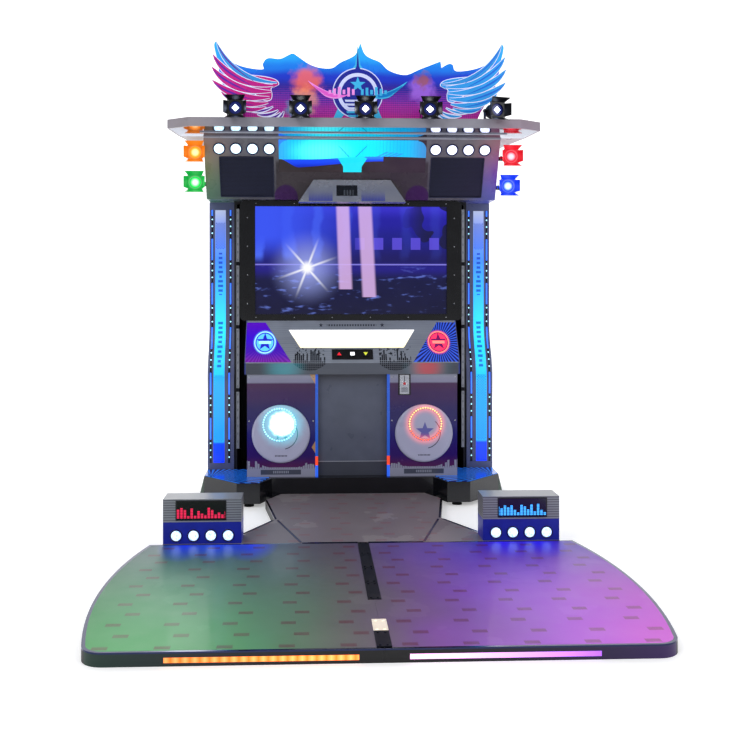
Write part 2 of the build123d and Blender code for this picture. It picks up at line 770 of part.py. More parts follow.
# ---- header ----
header_points = [
    (cabinet_back_ahead, header_bottom), (header_bottom_ahead, header_bottom),
    (header_top_ahead, header_top), (cabinet_back_ahead, header_top),
]
header = side_prism(header_points, -header_half, header_half)
header_rise = Vector(0, y_at(header_top_ahead) - y_at(header_bottom_ahead),
                     header_top - header_bottom).normalized()
header_out = Vector(0, -header_rise.Z, header_rise.Y)
wall_level = header_wall / header_rise.Z


def header_face_ahead(z):
    lean = (header_top_ahead - header_bottom_ahead) / (header_top - header_bottom)
    return header_bottom_ahead + (z - header_bottom) * lean


void_low = header_bottom + header_wall
header_void = [
    (cabinet_back_ahead + header_wall, void_low),
    (header_face_ahead(void_low) - wall_level, void_low),
    (header_face_ahead(header_top + 1) - wall_level, header_top + 1),
    (cabinet_back_ahead + header_wall, header_top + 1),
]
header -= side_prism(header_void, -header_half + header_wall, header_half - header_wall)


def header_plane(x, z):
    """Plane on the header's leaning face at height z, looking outwards."""
    return Plane(origin=(x, y_at(header_face_ahead(z)), z), x_dir=(1, 0, 0),
                 z_dir=(header_out.X, header_out.Y, header_out.Z))


def face_block(x_low, x_high, z_low, z_high, height_low, height_high):
    """Block on the header's face between two heights of the machine."""
    length = (z_high - z_low) / header_rise.Z
    slab = Box(x_high - x_low, length, height_high - height_low,
               align=(Align.CENTER, Align.CENTER, Align.MIN))
    return header_plane((x_low + x_high) / 2, (z_low + z_high) / 2) * (Pos(0, 0, height_low) * slab)


def face_disc(x, z, radius, height_low, height_high):
    disc = Cylinder(radius, height_high - height_low, align=(Align.CENTER, Align.CENTER, Align.MIN))
    return header_plane(x, z) * (Pos(0, 0, height_low) * disc)


header -= face_block(-lightbox_half, lightbox_half, lightbox_low, lightbox_high, -lightbox_recess, 1)
header_lightbox = face_block(-lightbox_half, lightbox_half, lightbox_low, lightbox_high,
                             -lightbox_recess, lightbox_thickness - lightbox_recess)
header_lamps = []
grilles = []
tweeters = []
for side in (-1, 1):
    x_low, x_high = sorted((side * grille_inner, side * grille_outer))
    header -= face_block(x_low, x_high, grille_low, grille_high, -grille_thickness, 1)
    grilles.append(face_block(x_low, x_high, grille_low, grille_high, -grille_thickness, 0))
    header -= face_disc(side * tweeter_x, tweeter_z, tweeter_hole_radius, -3 * header_wall, 1)
    for x in header_lamp_x:
        header -= face_disc(side * x, header_lamp_z, header_lamp_radius + small_gap,
                            header_lamp_proud - header_lamp_depth, 1)
        header_lamps.append(face_disc(side * x, header_lamp_z, header_lamp_radius,
                                      header_lamp_proud - header_lamp_depth, header_lamp_proud))
save("header_lightbox", [header_lightbox])
save("header_lamps", header_lamps)
save("speaker_grilles", grilles)


def header_driver(x):
    back = -header_wall
    flange = face_disc(x, tweeter_z, tweeter_radius, back - 5, back)
    basket = face_disc(x, tweeter_z, 0.6 * tweeter_radius, back - 0.6 * tweeter_depth, back - 5)
    magnet = face_disc(x, tweeter_z, 0.5 * tweeter_radius, back - tweeter_depth,
                       back - 0.6 * tweeter_depth)
    return flange + basket + magnet


save("header_shell", [header])
woofers = both_sides(driver(disc_x, disc_z, woofer_radius, woofer_depth, bass_front_ahead - bass_wall))
save("speaker_drivers", woofers + [header_driver(-tweeter_x), header_driver(tweeter_x)])


# ---- sensor hood and motion sensor ----
hood_top_ahead = header_face_ahead(hood_top) + panel
hood_side = [
    (hood_bottom_ahead, hood_bottom), (hood_top_ahead, hood_top),
    (header_face_ahead(hood_top), hood_top), (header_bottom_ahead, header_bottom),
    (header_bottom_ahead, hood_bottom),
]
hood_front = [(-hood_bottom_half, hood_bottom), (hood_bottom_half, hood_bottom),
              (hood_top_half, hood_top), (-hood_top_half, hood_top)]
hood_void_front = [(-hood_bottom_half + sheet, hood_bottom + sheet),
                   (hood_bottom_half - sheet, hood_bottom + sheet),
                   (hood_top_half - sheet, hood_top - sheet),
                   (-hood_top_half + sheet, hood_top - sheet)]
hood_solid = side_prism(hood_side, -hood_bottom_half, hood_bottom_half)
hood_solid &= front_prism(hood_front, 0, 2 * hood_bottom_ahead)
hood_void = Pos(0, sheet, 0) * side_prism(hood_side, -hood_bottom_half, hood_bottom_half)
hood_void &= front_prism(hood_void_front, 0, 2 * hood_bottom_ahead)
hood_shell = hood_solid - hood_void
window = block(window_low_x, window_high_x, header_bottom_ahead, 2 * hood_bottom_ahead,
               window_low, window_high)
window_pane = block(window_low_x + small_gap, window_high_x - small_gap, header_bottom_ahead,
                    2 * hood_bottom_ahead, window_low + small_gap, window_high - small_gap)
save("sensor_hood", [hood_shell - window])
sensor = block(window_low_x, window_high_x, sensor_back_ahead, sensor_front_ahead,
               hood_bottom + sheet, sensor_top)
save("motion_sensor", [sensor, hood_shell & window_pane])


# ---- canopy ----
canopy_points = [
    (-canopy_front_half, canopy_front_ahead), (-canopy_tip_half, canopy_tip_ahead),
    (-canopy_side_half, canopy_side_ahead), (-canopy_rear_half, cabinet_back_ahead),
    (canopy_rear_half, cabinet_back_ahead), (canopy_side_half, canopy_side_ahead),
    (canopy_tip_half, canopy_tip_ahead), (canopy_front_half, canopy_front_ahead),
]
mirror_points = [
    (-canopy_front_half + mirror_margin / 2, canopy_front_ahead - mirror_margin),
    (-canopy_tip_half + mirror_margin, canopy_tip_ahead - mirror_margin / 2),
    (-canopy_side_half + mirror_margin, canopy_side_ahead),
    (canopy_side_half - mirror_margin, canopy_side_ahead),
    (canopy_tip_half - mirror_margin, canopy_tip_ahead - mirror_margin / 2),
    (canopy_front_half - mirror_margin / 2, canopy_front_ahead - mirror_margin),
]
canopy = plan_prism(canopy_points, header_top, canopy_top)
canopy -= plan_prism(mirror_points, header_top - 1, header_top + mirror_thickness)
save("canopy_shell", [canopy])
save("canopy_mirror", [plan_prism(mirror_points, header_top, header_top + mirror_thickness)])


# ---- printed board above the canopy ----
board_offset = 28
board_wing = [(560, 2552), (657, 2562), (736, 2594), (787, 2640), (826, 2712), (864, 2640),
              (860, 2570), (866, 2485), (794, 2408), (762, 2382), (715, 2330), (672, canopy_top)]
board_crown = [
    (-560, 2588), (-531, 2622), (-458, 2620), (-392, 2650), (-358, 2634), (-292, 2588),
    (-226, 2567), (-146, 2567), (-113, 2601), (-40, 2630), (-14, 2667), (3, 2716), (26, 2667),
    (53, 2630), (117, 2607), (171, 2554), (264, 2531), (350, 2567), (469, 2614), (472, 2571),
    (515, 2597), (548, 2588),
]
left_wing = [(-x, z) for x, z in reversed(board_wing)]
board_outline = [(x + board_offset, z) for x, z in left_wing + board_crown + board_wing]
board = front_prism(board_outline, board_ahead - board_thickness / 2,
                    board_ahead + board_thickness / 2)
board_brackets = []
bracket_rear = board_ahead - board_thickness / 2
for x in (-400, 0, 400):
    foot = block(x - 20, x + 20, bracket_rear - 60, bracket_rear, canopy_top, canopy_top + sheet)
    upright_leg = block(x - 20, x + 20, bracket_rear - sheet, bracket_rear, canopy_top, canopy_top + 80)
    board_brackets.append(foot + upright_leg)
save("marquee_board", [board] + board_brackets)


# ---- barn-door lamps ----
can_back_radius = can_radius - can_taper
frame_half = can_radius + frame_lip
lens_radius = can_radius - frame_rim
yoke_half = can_radius + yoke_clearance
lamp_axis_height = can_radius + yoke_foot_clearance


def side_disc(x_low, x_high, radius):
    rod = Cylinder(radius, x_high - x_low, align=(Align.CENTER, Align.CENTER, Align.MIN))
    return Pos(x_low, 0, 0) * (Rot(0, 90, 0) * rod)


def forward_disc(radius, forward_low, forward_high):
    turned = Plane(origin=(0, -forward_low, 0), x_dir=(1, 0, 0), z_dir=(0, -1, 0))
    return turned * Cylinder(radius, forward_high - forward_low,
                             align=(Align.CENTER, Align.CENTER, Align.MIN))


def lamp_leaf(root_half, tip_half, turn):
    """Barn-door leaf hinged on one side of the colour frame."""
    rise = Vector(0, 0, 1).rotate(Axis.X, 90 - leaf_spread)
    root_forward = can_front + frame_depth
    root = Vector(0, -root_forward, frame_half - 2 * leaf_thickness)
    tip = root + rise * leaf_length
    face = make_face(Polyline((-root_half, root.Y, root.Z), (root_half, root.Y, root.Z),
                              (tip_half, tip.Y, tip.Z), (-tip_half, tip.Y, tip.Z), close=True))
    leaf = extrude(face, amount=leaf_thickness, dir=(0, 0, 1))
    return Rot(0, turn, 0) * leaf


def lamp_head():
    back_cone = Plane(origin=(0, can_back, 0), x_dir=(1, 0, 0), z_dir=(0, -1, 0)) * Cone(
        can_back_radius, can_radius, can_taper_length, align=(Align.CENTER, Align.CENTER, Align.MIN))
    can = back_cone + forward_disc(can_radius, can_taper_length - can_back, can_front)
    can -= forward_disc(can_radius - can_wall, -can_back / 2, can_front + 1)
    for side in (1, -1):
        stud = side_disc(can_radius - can_wall, yoke_half + yoke_thickness + can_wall, stud_radius)
        can += stud if side == 1 else mirror(stud, about=Plane.YZ)
    lens_front = can_front - head_lens_inset
    lens = forward_disc(can_radius - can_wall - small_gap, lens_front - head_lens_thickness, lens_front)
    colour_frame = Pos(0, -can_front - frame_depth / 2, 0) * Box(
        2 * frame_half, frame_depth, 2 * frame_half)
    colour_frame -= forward_disc(lens_radius, can_front - 1, can_front + frame_depth + 1)
    wide_root = frame_half - wide_leaf_margin
    narrow_root = frame_half - narrow_leaf_margin
    leaves = []
    for turn in (0, 180):
        leaves.append(lamp_leaf(wide_root, wide_root + wide_leaf_flare, turn))
        leaves.append(lamp_leaf(narrow_root, narrow_root - narrow_leaf_taper, turn + 90))
    return [can, lens, colour_frame] + leaves


def yoke_arm(side, rear, drop):
    """Arm from the yoke's base to the tilt axis, with the bore for the can's stud."""
    inner = yoke_half if side == 1 else -yoke_half - yoke_thickness
    arm = side_disc(inner, inner + yoke_thickness, yoke_width / 2)
    arm += Pos(inner, 0, 0) * Box(yoke_thickness, rear, drop,
                                  align=(Align.MIN, Align.MIN if drop == yoke_width else Align.CENTER,
                                         Align.CENTER if drop == yoke_width else Align.MAX))
    return arm - side_disc(inner - 1, inner + yoke_thickness + 1, stud_radius + stud_fit)


def floor_yoke():
    outer = yoke_half + yoke_thickness
    base = Pos(0, 0, -lamp_axis_height) * Box(2 * outer, yoke_width, yoke_thickness,
                                              align=(Align.CENTER, Align.CENTER, Align.MIN))
    return base + yoke_arm(1, yoke_width, lamp_axis_height) + yoke_arm(-1, yoke_width, lamp_axis_height)


wall_reach = 60


def wall_bracket(x):
    """Yoke for a side lamp at x, with a stub that reaches the header's side."""
    outer = yoke_half + yoke_thickness
    base = Pos(0, wall_reach, 0) * Box(2 * outer, yoke_thickness, yoke_width,
                                       align=(Align.CENTER, Align.MIN, Align.CENTER))
    stub = Box(abs(x) - outer - header_half, 6 * yoke_thickness, yoke_width,
               align=(Align.MAX, Align.MAX, Align.CENTER))
    stub = Pos(-outer, wall_reach + yoke_thickness, 0) * stub
    bracket = base + stub
    bracket += yoke_arm(1, wall_reach + 1, yoke_width) + yoke_arm(-1, wall_reach + 1, yoke_width)
    return bracket if x > 0 else mirror(bracket, about=Plane.YZ)


lamp_axis_z = canopy_top + lamp_axis_height
for index in range(lamp_count):
    x = lamp_row_middle + (index - (lamp_count - 1) / 2) * lamp_pitch
    turn = last_lamp_turn if index == lamp_count - 1 else 0
    place = Pos(x, y_at(lamp_ahead), lamp_axis_z) * Rot(0, 0, turn)
    save(f"stage_lamp_yoke_{index + 1}", [place * floor_yoke()])
    save(f"stage_lamp_head_{index + 1}", [place * shape for shape in lamp_head()])

brackets = []
for number, (x, z) in enumerate(side_lamp_places, start=1):
    place = Pos(x, y_at(side_lamp_ahead), z)
    brackets.append(place * wall_bracket(x))
    save(f"side_lamp_head_{number}", [place * shape for shape in lamp_head()])
save("side_lamp_brackets", brackets)


# ---- electronics in the carcass ----
computer = block(-300, 120, cabinet_back_ahead + 40, cabinet_back_ahead + 220, plinth_top, plinth_top + 380)
amplifier = block(200, 560, cabinet_back_ahead + 50, cabinet_back_ahead + 250, plinth_top, plinth_top + 120)
save("electronics", [computer, amplifier])
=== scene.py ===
import math

import bmesh
import bpy
from mathutils import Matrix, Vector


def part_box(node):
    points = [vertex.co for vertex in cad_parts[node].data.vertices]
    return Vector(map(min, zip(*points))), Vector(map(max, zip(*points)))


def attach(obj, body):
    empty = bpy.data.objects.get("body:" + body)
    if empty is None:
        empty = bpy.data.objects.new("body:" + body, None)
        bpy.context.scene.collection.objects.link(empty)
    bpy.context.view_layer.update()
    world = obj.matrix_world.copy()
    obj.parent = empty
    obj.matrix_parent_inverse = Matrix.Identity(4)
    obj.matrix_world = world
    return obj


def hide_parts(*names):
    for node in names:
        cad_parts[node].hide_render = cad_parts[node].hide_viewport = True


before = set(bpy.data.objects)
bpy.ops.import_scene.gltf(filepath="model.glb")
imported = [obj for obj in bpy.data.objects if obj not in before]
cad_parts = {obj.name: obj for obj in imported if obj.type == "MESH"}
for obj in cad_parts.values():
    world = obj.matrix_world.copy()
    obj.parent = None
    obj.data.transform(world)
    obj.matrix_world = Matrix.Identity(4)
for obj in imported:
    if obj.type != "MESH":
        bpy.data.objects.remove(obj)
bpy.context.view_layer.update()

# ---- studio ----
# A plain pale floor that runs up behind, two large soft lamps and a fill, and a camera at a
# standing player's eye height, a little left of the machine's middle.
scene = bpy.context.scene
scene.view_settings.view_transform = "Standard"
screen_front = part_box("tv_bezel")[0].y

bm = bmesh.new()
bmesh.ops.create_grid(bm, x_segments=1, y_segments=1, size=30)
floor_mesh = bpy.data.meshes.new("studio_floor")
bm.to_mesh(floor_mesh)
bm.free()
studio_floor = bpy.data.objects.new("studio_floor", floor_mesh)
scene.collection.objects.link(studio_floor)
floor_paint = bpy.data.materials.new("pale_floor")
floor_paint.use_nodes = True
floor_shader = floor_paint.node_tree.nodes["Principled BSDF"]
floor_shader.inputs["Base Color"].default_value = (0.86, 0.86, 0.87, 1)
floor_shader.inputs["Roughness"].default_value = 0.75
floor_shader.inputs["Emission Color"].default_value = (1, 1, 1, 1)
floor_shader.inputs["Emission Strength"].default_value = 0.35
floor_mesh.materials.append(floor_paint)

bm = bmesh.new()
bmesh.ops.create_grid(bm, x_segments=1, y_segments=1, size=30)
bmesh.ops.transform(bm, matrix=Matrix.Translation((0, 14, 20)) @ Matrix.Rotation(math.pi / 2, 4, "X"),
                    verts=bm.verts)
wall_mesh = bpy.data.meshes.new("studio_backdrop")
bm.to_mesh(wall_mesh)
bm.free()
backdrop = bpy.data.objects.new("studio_backdrop", wall_mesh)
scene.collection.objects.link(backdrop)
wall_paint = floor_paint.copy()
wall_paint.name = "pale_backdrop"
wall_paint.node_tree.nodes["Principled BSDF"].inputs["Emission Strength"].default_value = 0.8
wall_mesh.materials.append(wall_paint)

world = bpy.data.worlds.new("studio")
world.use_nodes = True
world.node_tree.nodes["Background"].inputs["Color"].default_value = (0.93, 0.94, 0.97, 1)
world.node_tree.nodes["Background"].inputs["Strength"].default_value = 0.36
scene.world = world


def soft_light(name, place, aim, size, power):
    data = bpy.data.lights.new(name, "AREA")
    data.shape = "SQUARE"
    data.size = size
    data.energy = power
    light = bpy.data.objects.new(name, data)
    light.location = place
    light.rotation_euler = (Vector(aim) - Vector(place)).to_track_quat("-Z", "Y").to_euler()
    scene.collection.objects.link(light)


soft_light("key_light", (-4.0, -5.5, 5.5), (0, 0.5, 0.9), 3.5, 230)
soft_light("fill_light", (4.5, -5.0, 4.0), (0, 0.5, 0.9), 4.0, 130)
soft_light("rear_light", (0.0, 6.0, 4.5), (0, 0.5, 1.2), 4.0, 200)

camera_distance = 5.986
camera_left = 0.253
camera_height = 1.285
camera_turn = 2.4
camera_data = bpy.data.cameras.new("camera")
camera_data.lens = 45.6
camera_data.sensor_width = 36
camera_data.shift_x = 0.032
camera_data.shift_y = -0.1133
camera_data.clip_end = 100
camera = bpy.data.objects.new("camera", camera_data)
camera.location = (-camera_left, screen_front - camera_distance, camera_height)
camera.rotation_euler = (math.radians(90), 0, math.radians(-camera_turn))
scene.collection.objects.link(camera)
scene.camera = camera


# ---- stage boards ----
# Black painted plywood platforms: the two halves of the stage, the neck and two wedges. Their
# front edge carries painted green light on the left and painted purple light on the right, as a glow.
def tint(code, alpha=1.0):
    """Linear colour from a six-digit mixing code."""
    parts = [int(code[index:index + 2], 16) / 255 for index in (0, 2, 4)]
    return tuple(p / 12.92 if p <= 0.04045 else ((p + 0.055) / 1.055) ** 2.4 for p in parts) + (alpha,)


class SurfaceValue:
    """A number that varies over a surface. Arithmetic on it adds the matching math nodes."""

    def __init__(self, tree, socket):
        self.tree = tree
        self.socket = socket

    def __add__(self, other):
        return calc(self.tree, "ADD", self, other)

    def __sub__(self, other):
        return calc(self.tree, "SUBTRACT", self, other)

    def __rsub__(self, other):
        return calc(self.tree, "SUBTRACT", other, self)

    def __mul__(self, other):
        return calc(self.tree, "MULTIPLY", self, other)

    def __truediv__(self, other):
        return calc(self.tree, "DIVIDE", self, other)

    def __gt__(self, other):
        return calc(self.tree, "GREATER_THAN", self, other)

    def __lt__(self, other):
        return calc(self.tree, "LESS_THAN", self, other)

    def __abs__(self):
        return calc(self.tree, "ABSOLUTE", self)

    __radd__ = __add__
    __rmul__ = __mul__


def put(tree, socket, value):
    if isinstance(value, SurfaceValue):
        value = value.socket
    if isinstance(value, bpy.types.NodeSocket):
        tree.links.new(value, socket)
    else:
        socket.default_value = value


def calc(tree, operation, *values):
    node = tree.nodes.new("ShaderNodeMath")
    node.operation = operation
    for socket, value in zip(node.inputs, values):
        put(tree, socket, value)
    return SurfaceValue(tree, node.outputs[0])


def blend_paint(tree, amount, under, over):
    node = tree.nodes.new("ShaderNodeMix")
    node.data_type = "RGBA"
    put(tree, node.inputs[0], amount)
    put(tree, node.inputs[6], under)
    put(tree, node.inputs[7], over)
    return node.outputs[2]


def places(tree):
    """X, Y and Z of the shaded point in the object's own metres, and all three together."""
    coordinates = tree.nodes.new("ShaderNodeTexCoord")
    split = tree.nodes.new("ShaderNodeSeparateXYZ")
    tree.links.new(coordinates.outputs["Object"], split.inputs[0])
    x, y, z = (SurfaceValue(tree, output) for output in split.outputs)
    return x, y, z, coordinates.outputs["Object"]


def speckle(tree, where, scale, detail=3.0):
    node = tree.nodes.new("ShaderNodeTexNoise")
    node.inputs["Scale"].default_value = scale
    node.inputs["Detail"].default_value = detail
    tree.links.new(where, node.inputs["Vector"])
    return SurfaceValue(tree, node.outputs["Fac"])


def between(value, low, high):
    """1 where value lies between low and high, else 0."""
    above = value > low
    return above * (value < high)


def larger(value, other):
    return calc(value.tree, "MAXIMUM", value, other)


def cycle(value, pitch, start=0.0):
    """Runs from 0 to 1 over each pitch."""
    moved = value - start
    return calc(moved.tree, "FRACT", moved / pitch)


def finish(name, colour, roughness, metallic=0.0, coat=0.0, grain=400.0, depth=0.05, wear=0.08):
    """Principled finish with mottled colour, uneven gloss and a fine bump. Returns material,
    tree, shader and the coordinates, so that a print can be laid over the plain colour."""
    material = bpy.data.materials.new(name)
    material.use_nodes = True
    tree = material.node_tree
    shader = tree.nodes["Principled BSDF"]
    x, y, z, where = places(tree)
    mottle = speckle(tree, where, 9.0, 5.0)
    darker = tuple(c * (1 - 3 * wear) for c in colour[:3]) + (1,)
    lighter = tuple(min(1, c * (1 + wear) + 0.01 * wear) for c in colour[:3]) + (1,)
    put(tree, shader.inputs["Base Color"], blend_paint(tree, mottle, darker, lighter))
    fine = speckle(tree, where, grain, 2.0)
    uneven = mottle * 0.18 + (roughness - 0.09)
    put(tree, shader.inputs["Roughness"], uneven)
    shader.inputs["Metallic"].default_value = metallic
    shader.inputs["Specular IOR Level"].default_value = 0.32
    shader.inputs["Coat Weight"].default_value = coat * 0.45
    shader.inputs["Coat Roughness"].default_value = 0.08
    bump = tree.nodes.new("ShaderNodeBump")
    bump.inputs["Strength"].default_value = depth
    bump.inputs["Distance"].default_value = 0.001
    put(tree, bump.inputs["Height"], fine)
    tree.links.new(bump.outputs[0], shader.inputs["Normal"])
    return material, tree, shader, (x, y, z, where)


def lit(tree, shader, colour, strength):
    put(tree, shader.inputs["Emission Color"], colour)
    shader.inputs["Emission Strength"].default_value = strength


def dress(node, *materials):
    """Puts a finish on a CAD node."""
    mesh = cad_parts[node].data
    mesh.materials.clear()
    for material in materials:
        mesh.materials.append(material)


black_board, board_tree, board_shader, (bx, by, _, _) = finish(
    "black_painted_board", tint("0c0c0f"), 0.45, coat=0.2)
# painted light on the front edge: green on the left, purple on the right, glowing more towards the outer
# ends
edge_side = bx * 0.45 + 0.5
edge_light_colour = blend_paint(board_tree, edge_side, tint("0c5a3c"), tint("5c1c9c"))
put(board_tree, board_shader.inputs["Emission Color"], edge_light_colour)
edge_amount = calc(board_tree, "POWER", abs(bx * 0.9), 2.0)
edge_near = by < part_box("stage_deck")[0].y + 0.02
painted_edge_light = edge_amount * edge_near * 0.3
put(board_tree, board_shader.inputs["Emission Strength"], painted_edge_light)
dress("stage_frame", black_board)


# ---- stage and neck film ----
# Silver-mauve printed film over the tread plates, with staggered small red-pink stamps. Painted green
# light from the left lamps, painted purple light from the right ones, painted blue pools and a painted
# glow wash over the stage.
def gradient(tree, share, stops, blend="EASE"):
    """Colour that runs through the stops as share goes from 0 to 1."""
    node = tree.nodes.new("ShaderNodeValToRGB")
    node.color_ramp.interpolation = blend
    while len(node.color_ramp.elements) < len(stops):
        node.color_ramp.elements.new(0.5)
    for element, (place, code) in zip(node.color_ramp.elements, stops):
        element.position = place
        element.color = tint(code)
    put(tree, node.inputs[0], share)
    return node.outputs[0]


def ground(shader):
    """The mottled colour that a finish starts with."""
    return shader.inputs["Base Color"].links[0].from_socket


def deepen(tree, colour, gamma):
    node = tree.nodes.new("ShaderNodeGamma")
    node.inputs["Gamma"].default_value = gamma
    put(tree, node.inputs["Color"], colour)
    return node.outputs[0]


def film(name, is_stage):
    material, tree, shader, (x, y, z, where) = finish(
        name, tint("8f8488"), 0.44, coat=0.12, grain=260, depth=0.12)
    base = ground(shader)
    stamp_pitch, row_pitch, line_pitch = 0.215, 0.115, 0.0115
    row = calc(tree, "FLOOR", y / row_pitch)
    stagger = calc(tree, "FRACT", row * 0.5) * 0.33
    across = cycle(x + stagger, stamp_pitch)
    along = cycle(y, row_pitch)
    stamp = between(across, 0.3, 0.56) * between(along, 0.38, 0.66)
    lines = cycle(y, line_pitch) > 0.35
    stamp = stamp * lines
    scuffs = speckle(tree, where, 3.2, 9.0) > 0.6
    film_colour = blend_paint(tree, scuffs * 0.22, base, tint("cfc9c6"))
    if is_stage:
        deck_low, deck_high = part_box("stage_deck")
        # painted light: green from the left lamps to purple from the right ones, changing from front to
        # rear
        sway = (speckle(tree, where, 1.3, 2.0) - 0.5) * 0.2
        share = x * 0.446 + 0.5 + sway
        front_row = gradient(tree, share, [
            (0.0, "0f9a40"), (0.16, "3cb468"), (0.36, "6c7c68"), (0.5, "746a72"), (0.62, "8a58a8"),
            (0.78, "b048e0"), (1.0, "d84cd0")], "B_SPLINE")
        rear_row = gradient(tree, share, [
            (0.0, "105c5c"), (0.16, "3c6488"), (0.36, "5c5c68"), (0.5, "5e565e"), (0.66, "6248b0"),
            (0.82, "3c28c8"), (1.0, "4c20a8")], "B_SPLINE")
        depth_share = (y - deck_low.y) / (deck_high.y - deck_low.y)
        wash = blend_paint(tree, calc(tree, "POWER", depth_share, 1.3), front_row, rear_row)
        film_colour = blend_paint(tree, 0.84, film_colour, wash)
        # painted pools of blue light along the rear of the stage
        for pool_x, code in ((-0.86, "2a50ff"), (-0.70, "2a60ff"), (-0.54, "2a50ff"), (0.86, "3a28ff"),
                             (0.68, "4a30ff")):
            u = x - pool_x
            v = (y - deck_high.y) * 0.45
            far = calc(tree, "SQRT", u * u + v * v)
            pool = larger(far * -6.0 + 0.8, 0.0)
            film_colour = blend_paint(tree, pool, film_colour, tint(code))
        film_colour = blend_paint(tree, stamp * 0.75, film_colour, tint("6c1c34"))
        film_colour = deepen(tree, film_colour, 1.35)
        # faint painted glow of the film with its painted light
        lit(tree, shader, film_colour, 0.30)
    else:
        film_colour = blend_paint(tree, 0.35, film_colour, tint("5c5560"))
        film_colour = blend_paint(tree, stamp * 0.5, film_colour, tint("8a3048"))
    put(tree, shader.inputs["Base Color"], film_colour)
    return material


dress("stage_deck", film("stage_film", True))
dress("neck_deck", film("neck_film", False))


# ---- edge trims, joint plates and LED bars of the stage ----
# Dark polished aluminium edging and seam strips, dark steel cover plates with screws over the
# middle joint, and two long LED bars behind clear covers in the front edge.
chrome, *_ = finish("polished_edge_trim", tint("343a58"), 0.16, metallic=1.0, grain=90, depth=0.03)
dress("stage_trim", chrome)


def joint_plate_finish():
    material, tree, shader, (x, y, z, where) = finish(
        "dark_cover_plate", tint("1b1c22"), 0.32, metallic=0.85, grain=180, depth=0.15)
    # a painted warm-white highlight across the plates, which also glows
    bright_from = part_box("joint_plates")[0].y + 0.155
    bright = between(y, bright_from, bright_from + 0.121)
    base = ground(shader)
    put(tree, shader.inputs["Base Color"], blend_paint(tree, bright, base, tint("fff4df")))
    lit(tree, shader, tint("fff0d8"), 0.0)
    glow = bright * 0.55
    put(tree, shader.inputs["Emission Strength"], glow)
    return material


dress("joint_plates", joint_plate_finish())


def led_bar_finish():
    material, tree, shader, (x, y, z, where) = finish(
        "led_bar_cover", tint("ffb070"), 0.25, coat=0.4, grain=600, depth=0.02)
    right = x > 0.0
    spots = calc(tree, "PINGPONG", x * 30, 0.5)
    warm = blend_paint(tree, spots, tint("ff6a10"), tint("ffc070"))
    purple = blend_paint(tree, x * 1.6 - 0.3, tint("ffb0f0"), tint("a050ff"))
    colour = blend_paint(tree, right, warm, purple)
    put(tree, shader.inputs["Base Color"], colour)
    lit(tree, shader, colour, 1.5)
    out = abs(x)
    dim = larger(out * -1.9 + 2.1, 0.25)
    put(tree, shader.inputs["Emission Strength"], calc(tree, "MINIMUM", dim, 1.6))
    return material


dress("stage_led_bars", led_bar_finish())


# ---- floor light boxes ----
# Moulded housings on the stage's rear ledge: a dark-blue lower half with four round lamps and a
# grey printed cover with a lit level display. The lamps are domed lenses in turned bezels.
def cabinet_object(name, bm, *materials, body="cabinet", smooth=False, slot=None):
    """Closes a piece: mesh with its place in it, finish, and the body that it rides on."""
    mesh = bpy.data.meshes.new(name)
    bm.to_mesh(mesh)
    bm.free()
    for material in materials:
        mesh.materials.append(material)
    for face in mesh.polygons:
        face.use_smooth = smooth
    piece = bpy.data.objects.new(name, mesh)
    scene.collection.objects.link(piece)
    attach(piece, body)
    return piece


def floor_box_finish():
    material, tree, shader, (x, y, z, where) = finish(
        "floor_box_print", tint("8d9096"), 0.38, coat=0.3, grain=300, depth=0.06)
    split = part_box("floor_boxes")[0].z + 0.105
    lower = z < split
    stripes = cycle(z, 0.012) > 0.62
    base = ground(shader)
    cover = blend_paint(tree, stripes * 0.75, base, tint("3f434e"))
    lower_paint = blend_paint(tree, speckle(tree, where, 14, 4), tint("080a38"), tint("1b2a86"))
    put(tree, shader.inputs["Base Color"], blend_paint(tree, lower, cover, lower_paint))
    # painted blue glow over the dark-blue lower half
    put(tree, shader.inputs["Emission Color"], tint("2030ff"))
    put(tree, shader.inputs["Emission Strength"], lower * 0.12)
    return material


dress("floor_boxes", floor_box_finish())


def level_display_finish(name, dark, glowing, bars):
    """Lit equaliser bars on a dark window, made of stacked segments of uneven height."""
    material, tree, shader, (x, y, z, where) = finish(name, tint(dark), 0.18, coat=0.6, depth=0.02)
    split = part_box("floor_boxes")[0].z + 0.117
    column = calc(tree, "FLOOR", x / bars)
    height = calc(tree, "FRACT", calc(tree, "SINE", column * 12.7) * 43.7)
    level = height * 0.045 + (split + 0.018)
    inside = z < level
    inside = inside * (z > split + 0.008)
    inside = inside * between(cycle(x, bars), 0.14, 0.86)
    inside = inside * (cycle(z, 0.0075) > 0.25)
    put(tree, shader.inputs["Base Color"], blend_paint(tree, inside, tint(dark), tint(glowing)))
    lit(tree, shader, tint(glowing), 0.0)
    put(tree, shader.inputs["Emission Strength"], inside * 1.1)
    return material


def block_mesh(low, high, bevel=0.0, segments=2):
    bm = bmesh.new()
    size = Vector(high) - Vector(low)
    middle = (Vector(high) + Vector(low)) / 2
    bmesh.ops.create_cube(bm, size=1.0)
    bmesh.ops.scale(bm, vec=size, verts=bm.verts)
    bmesh.ops.translate(bm, vec=middle, verts=bm.verts)
    if bevel:
        bmesh.ops.bevel(bm, geom=bm.edges[:], offset=bevel, affect="EDGES", segments=segments,
                        profile=0.5, material=-1)
    return bm


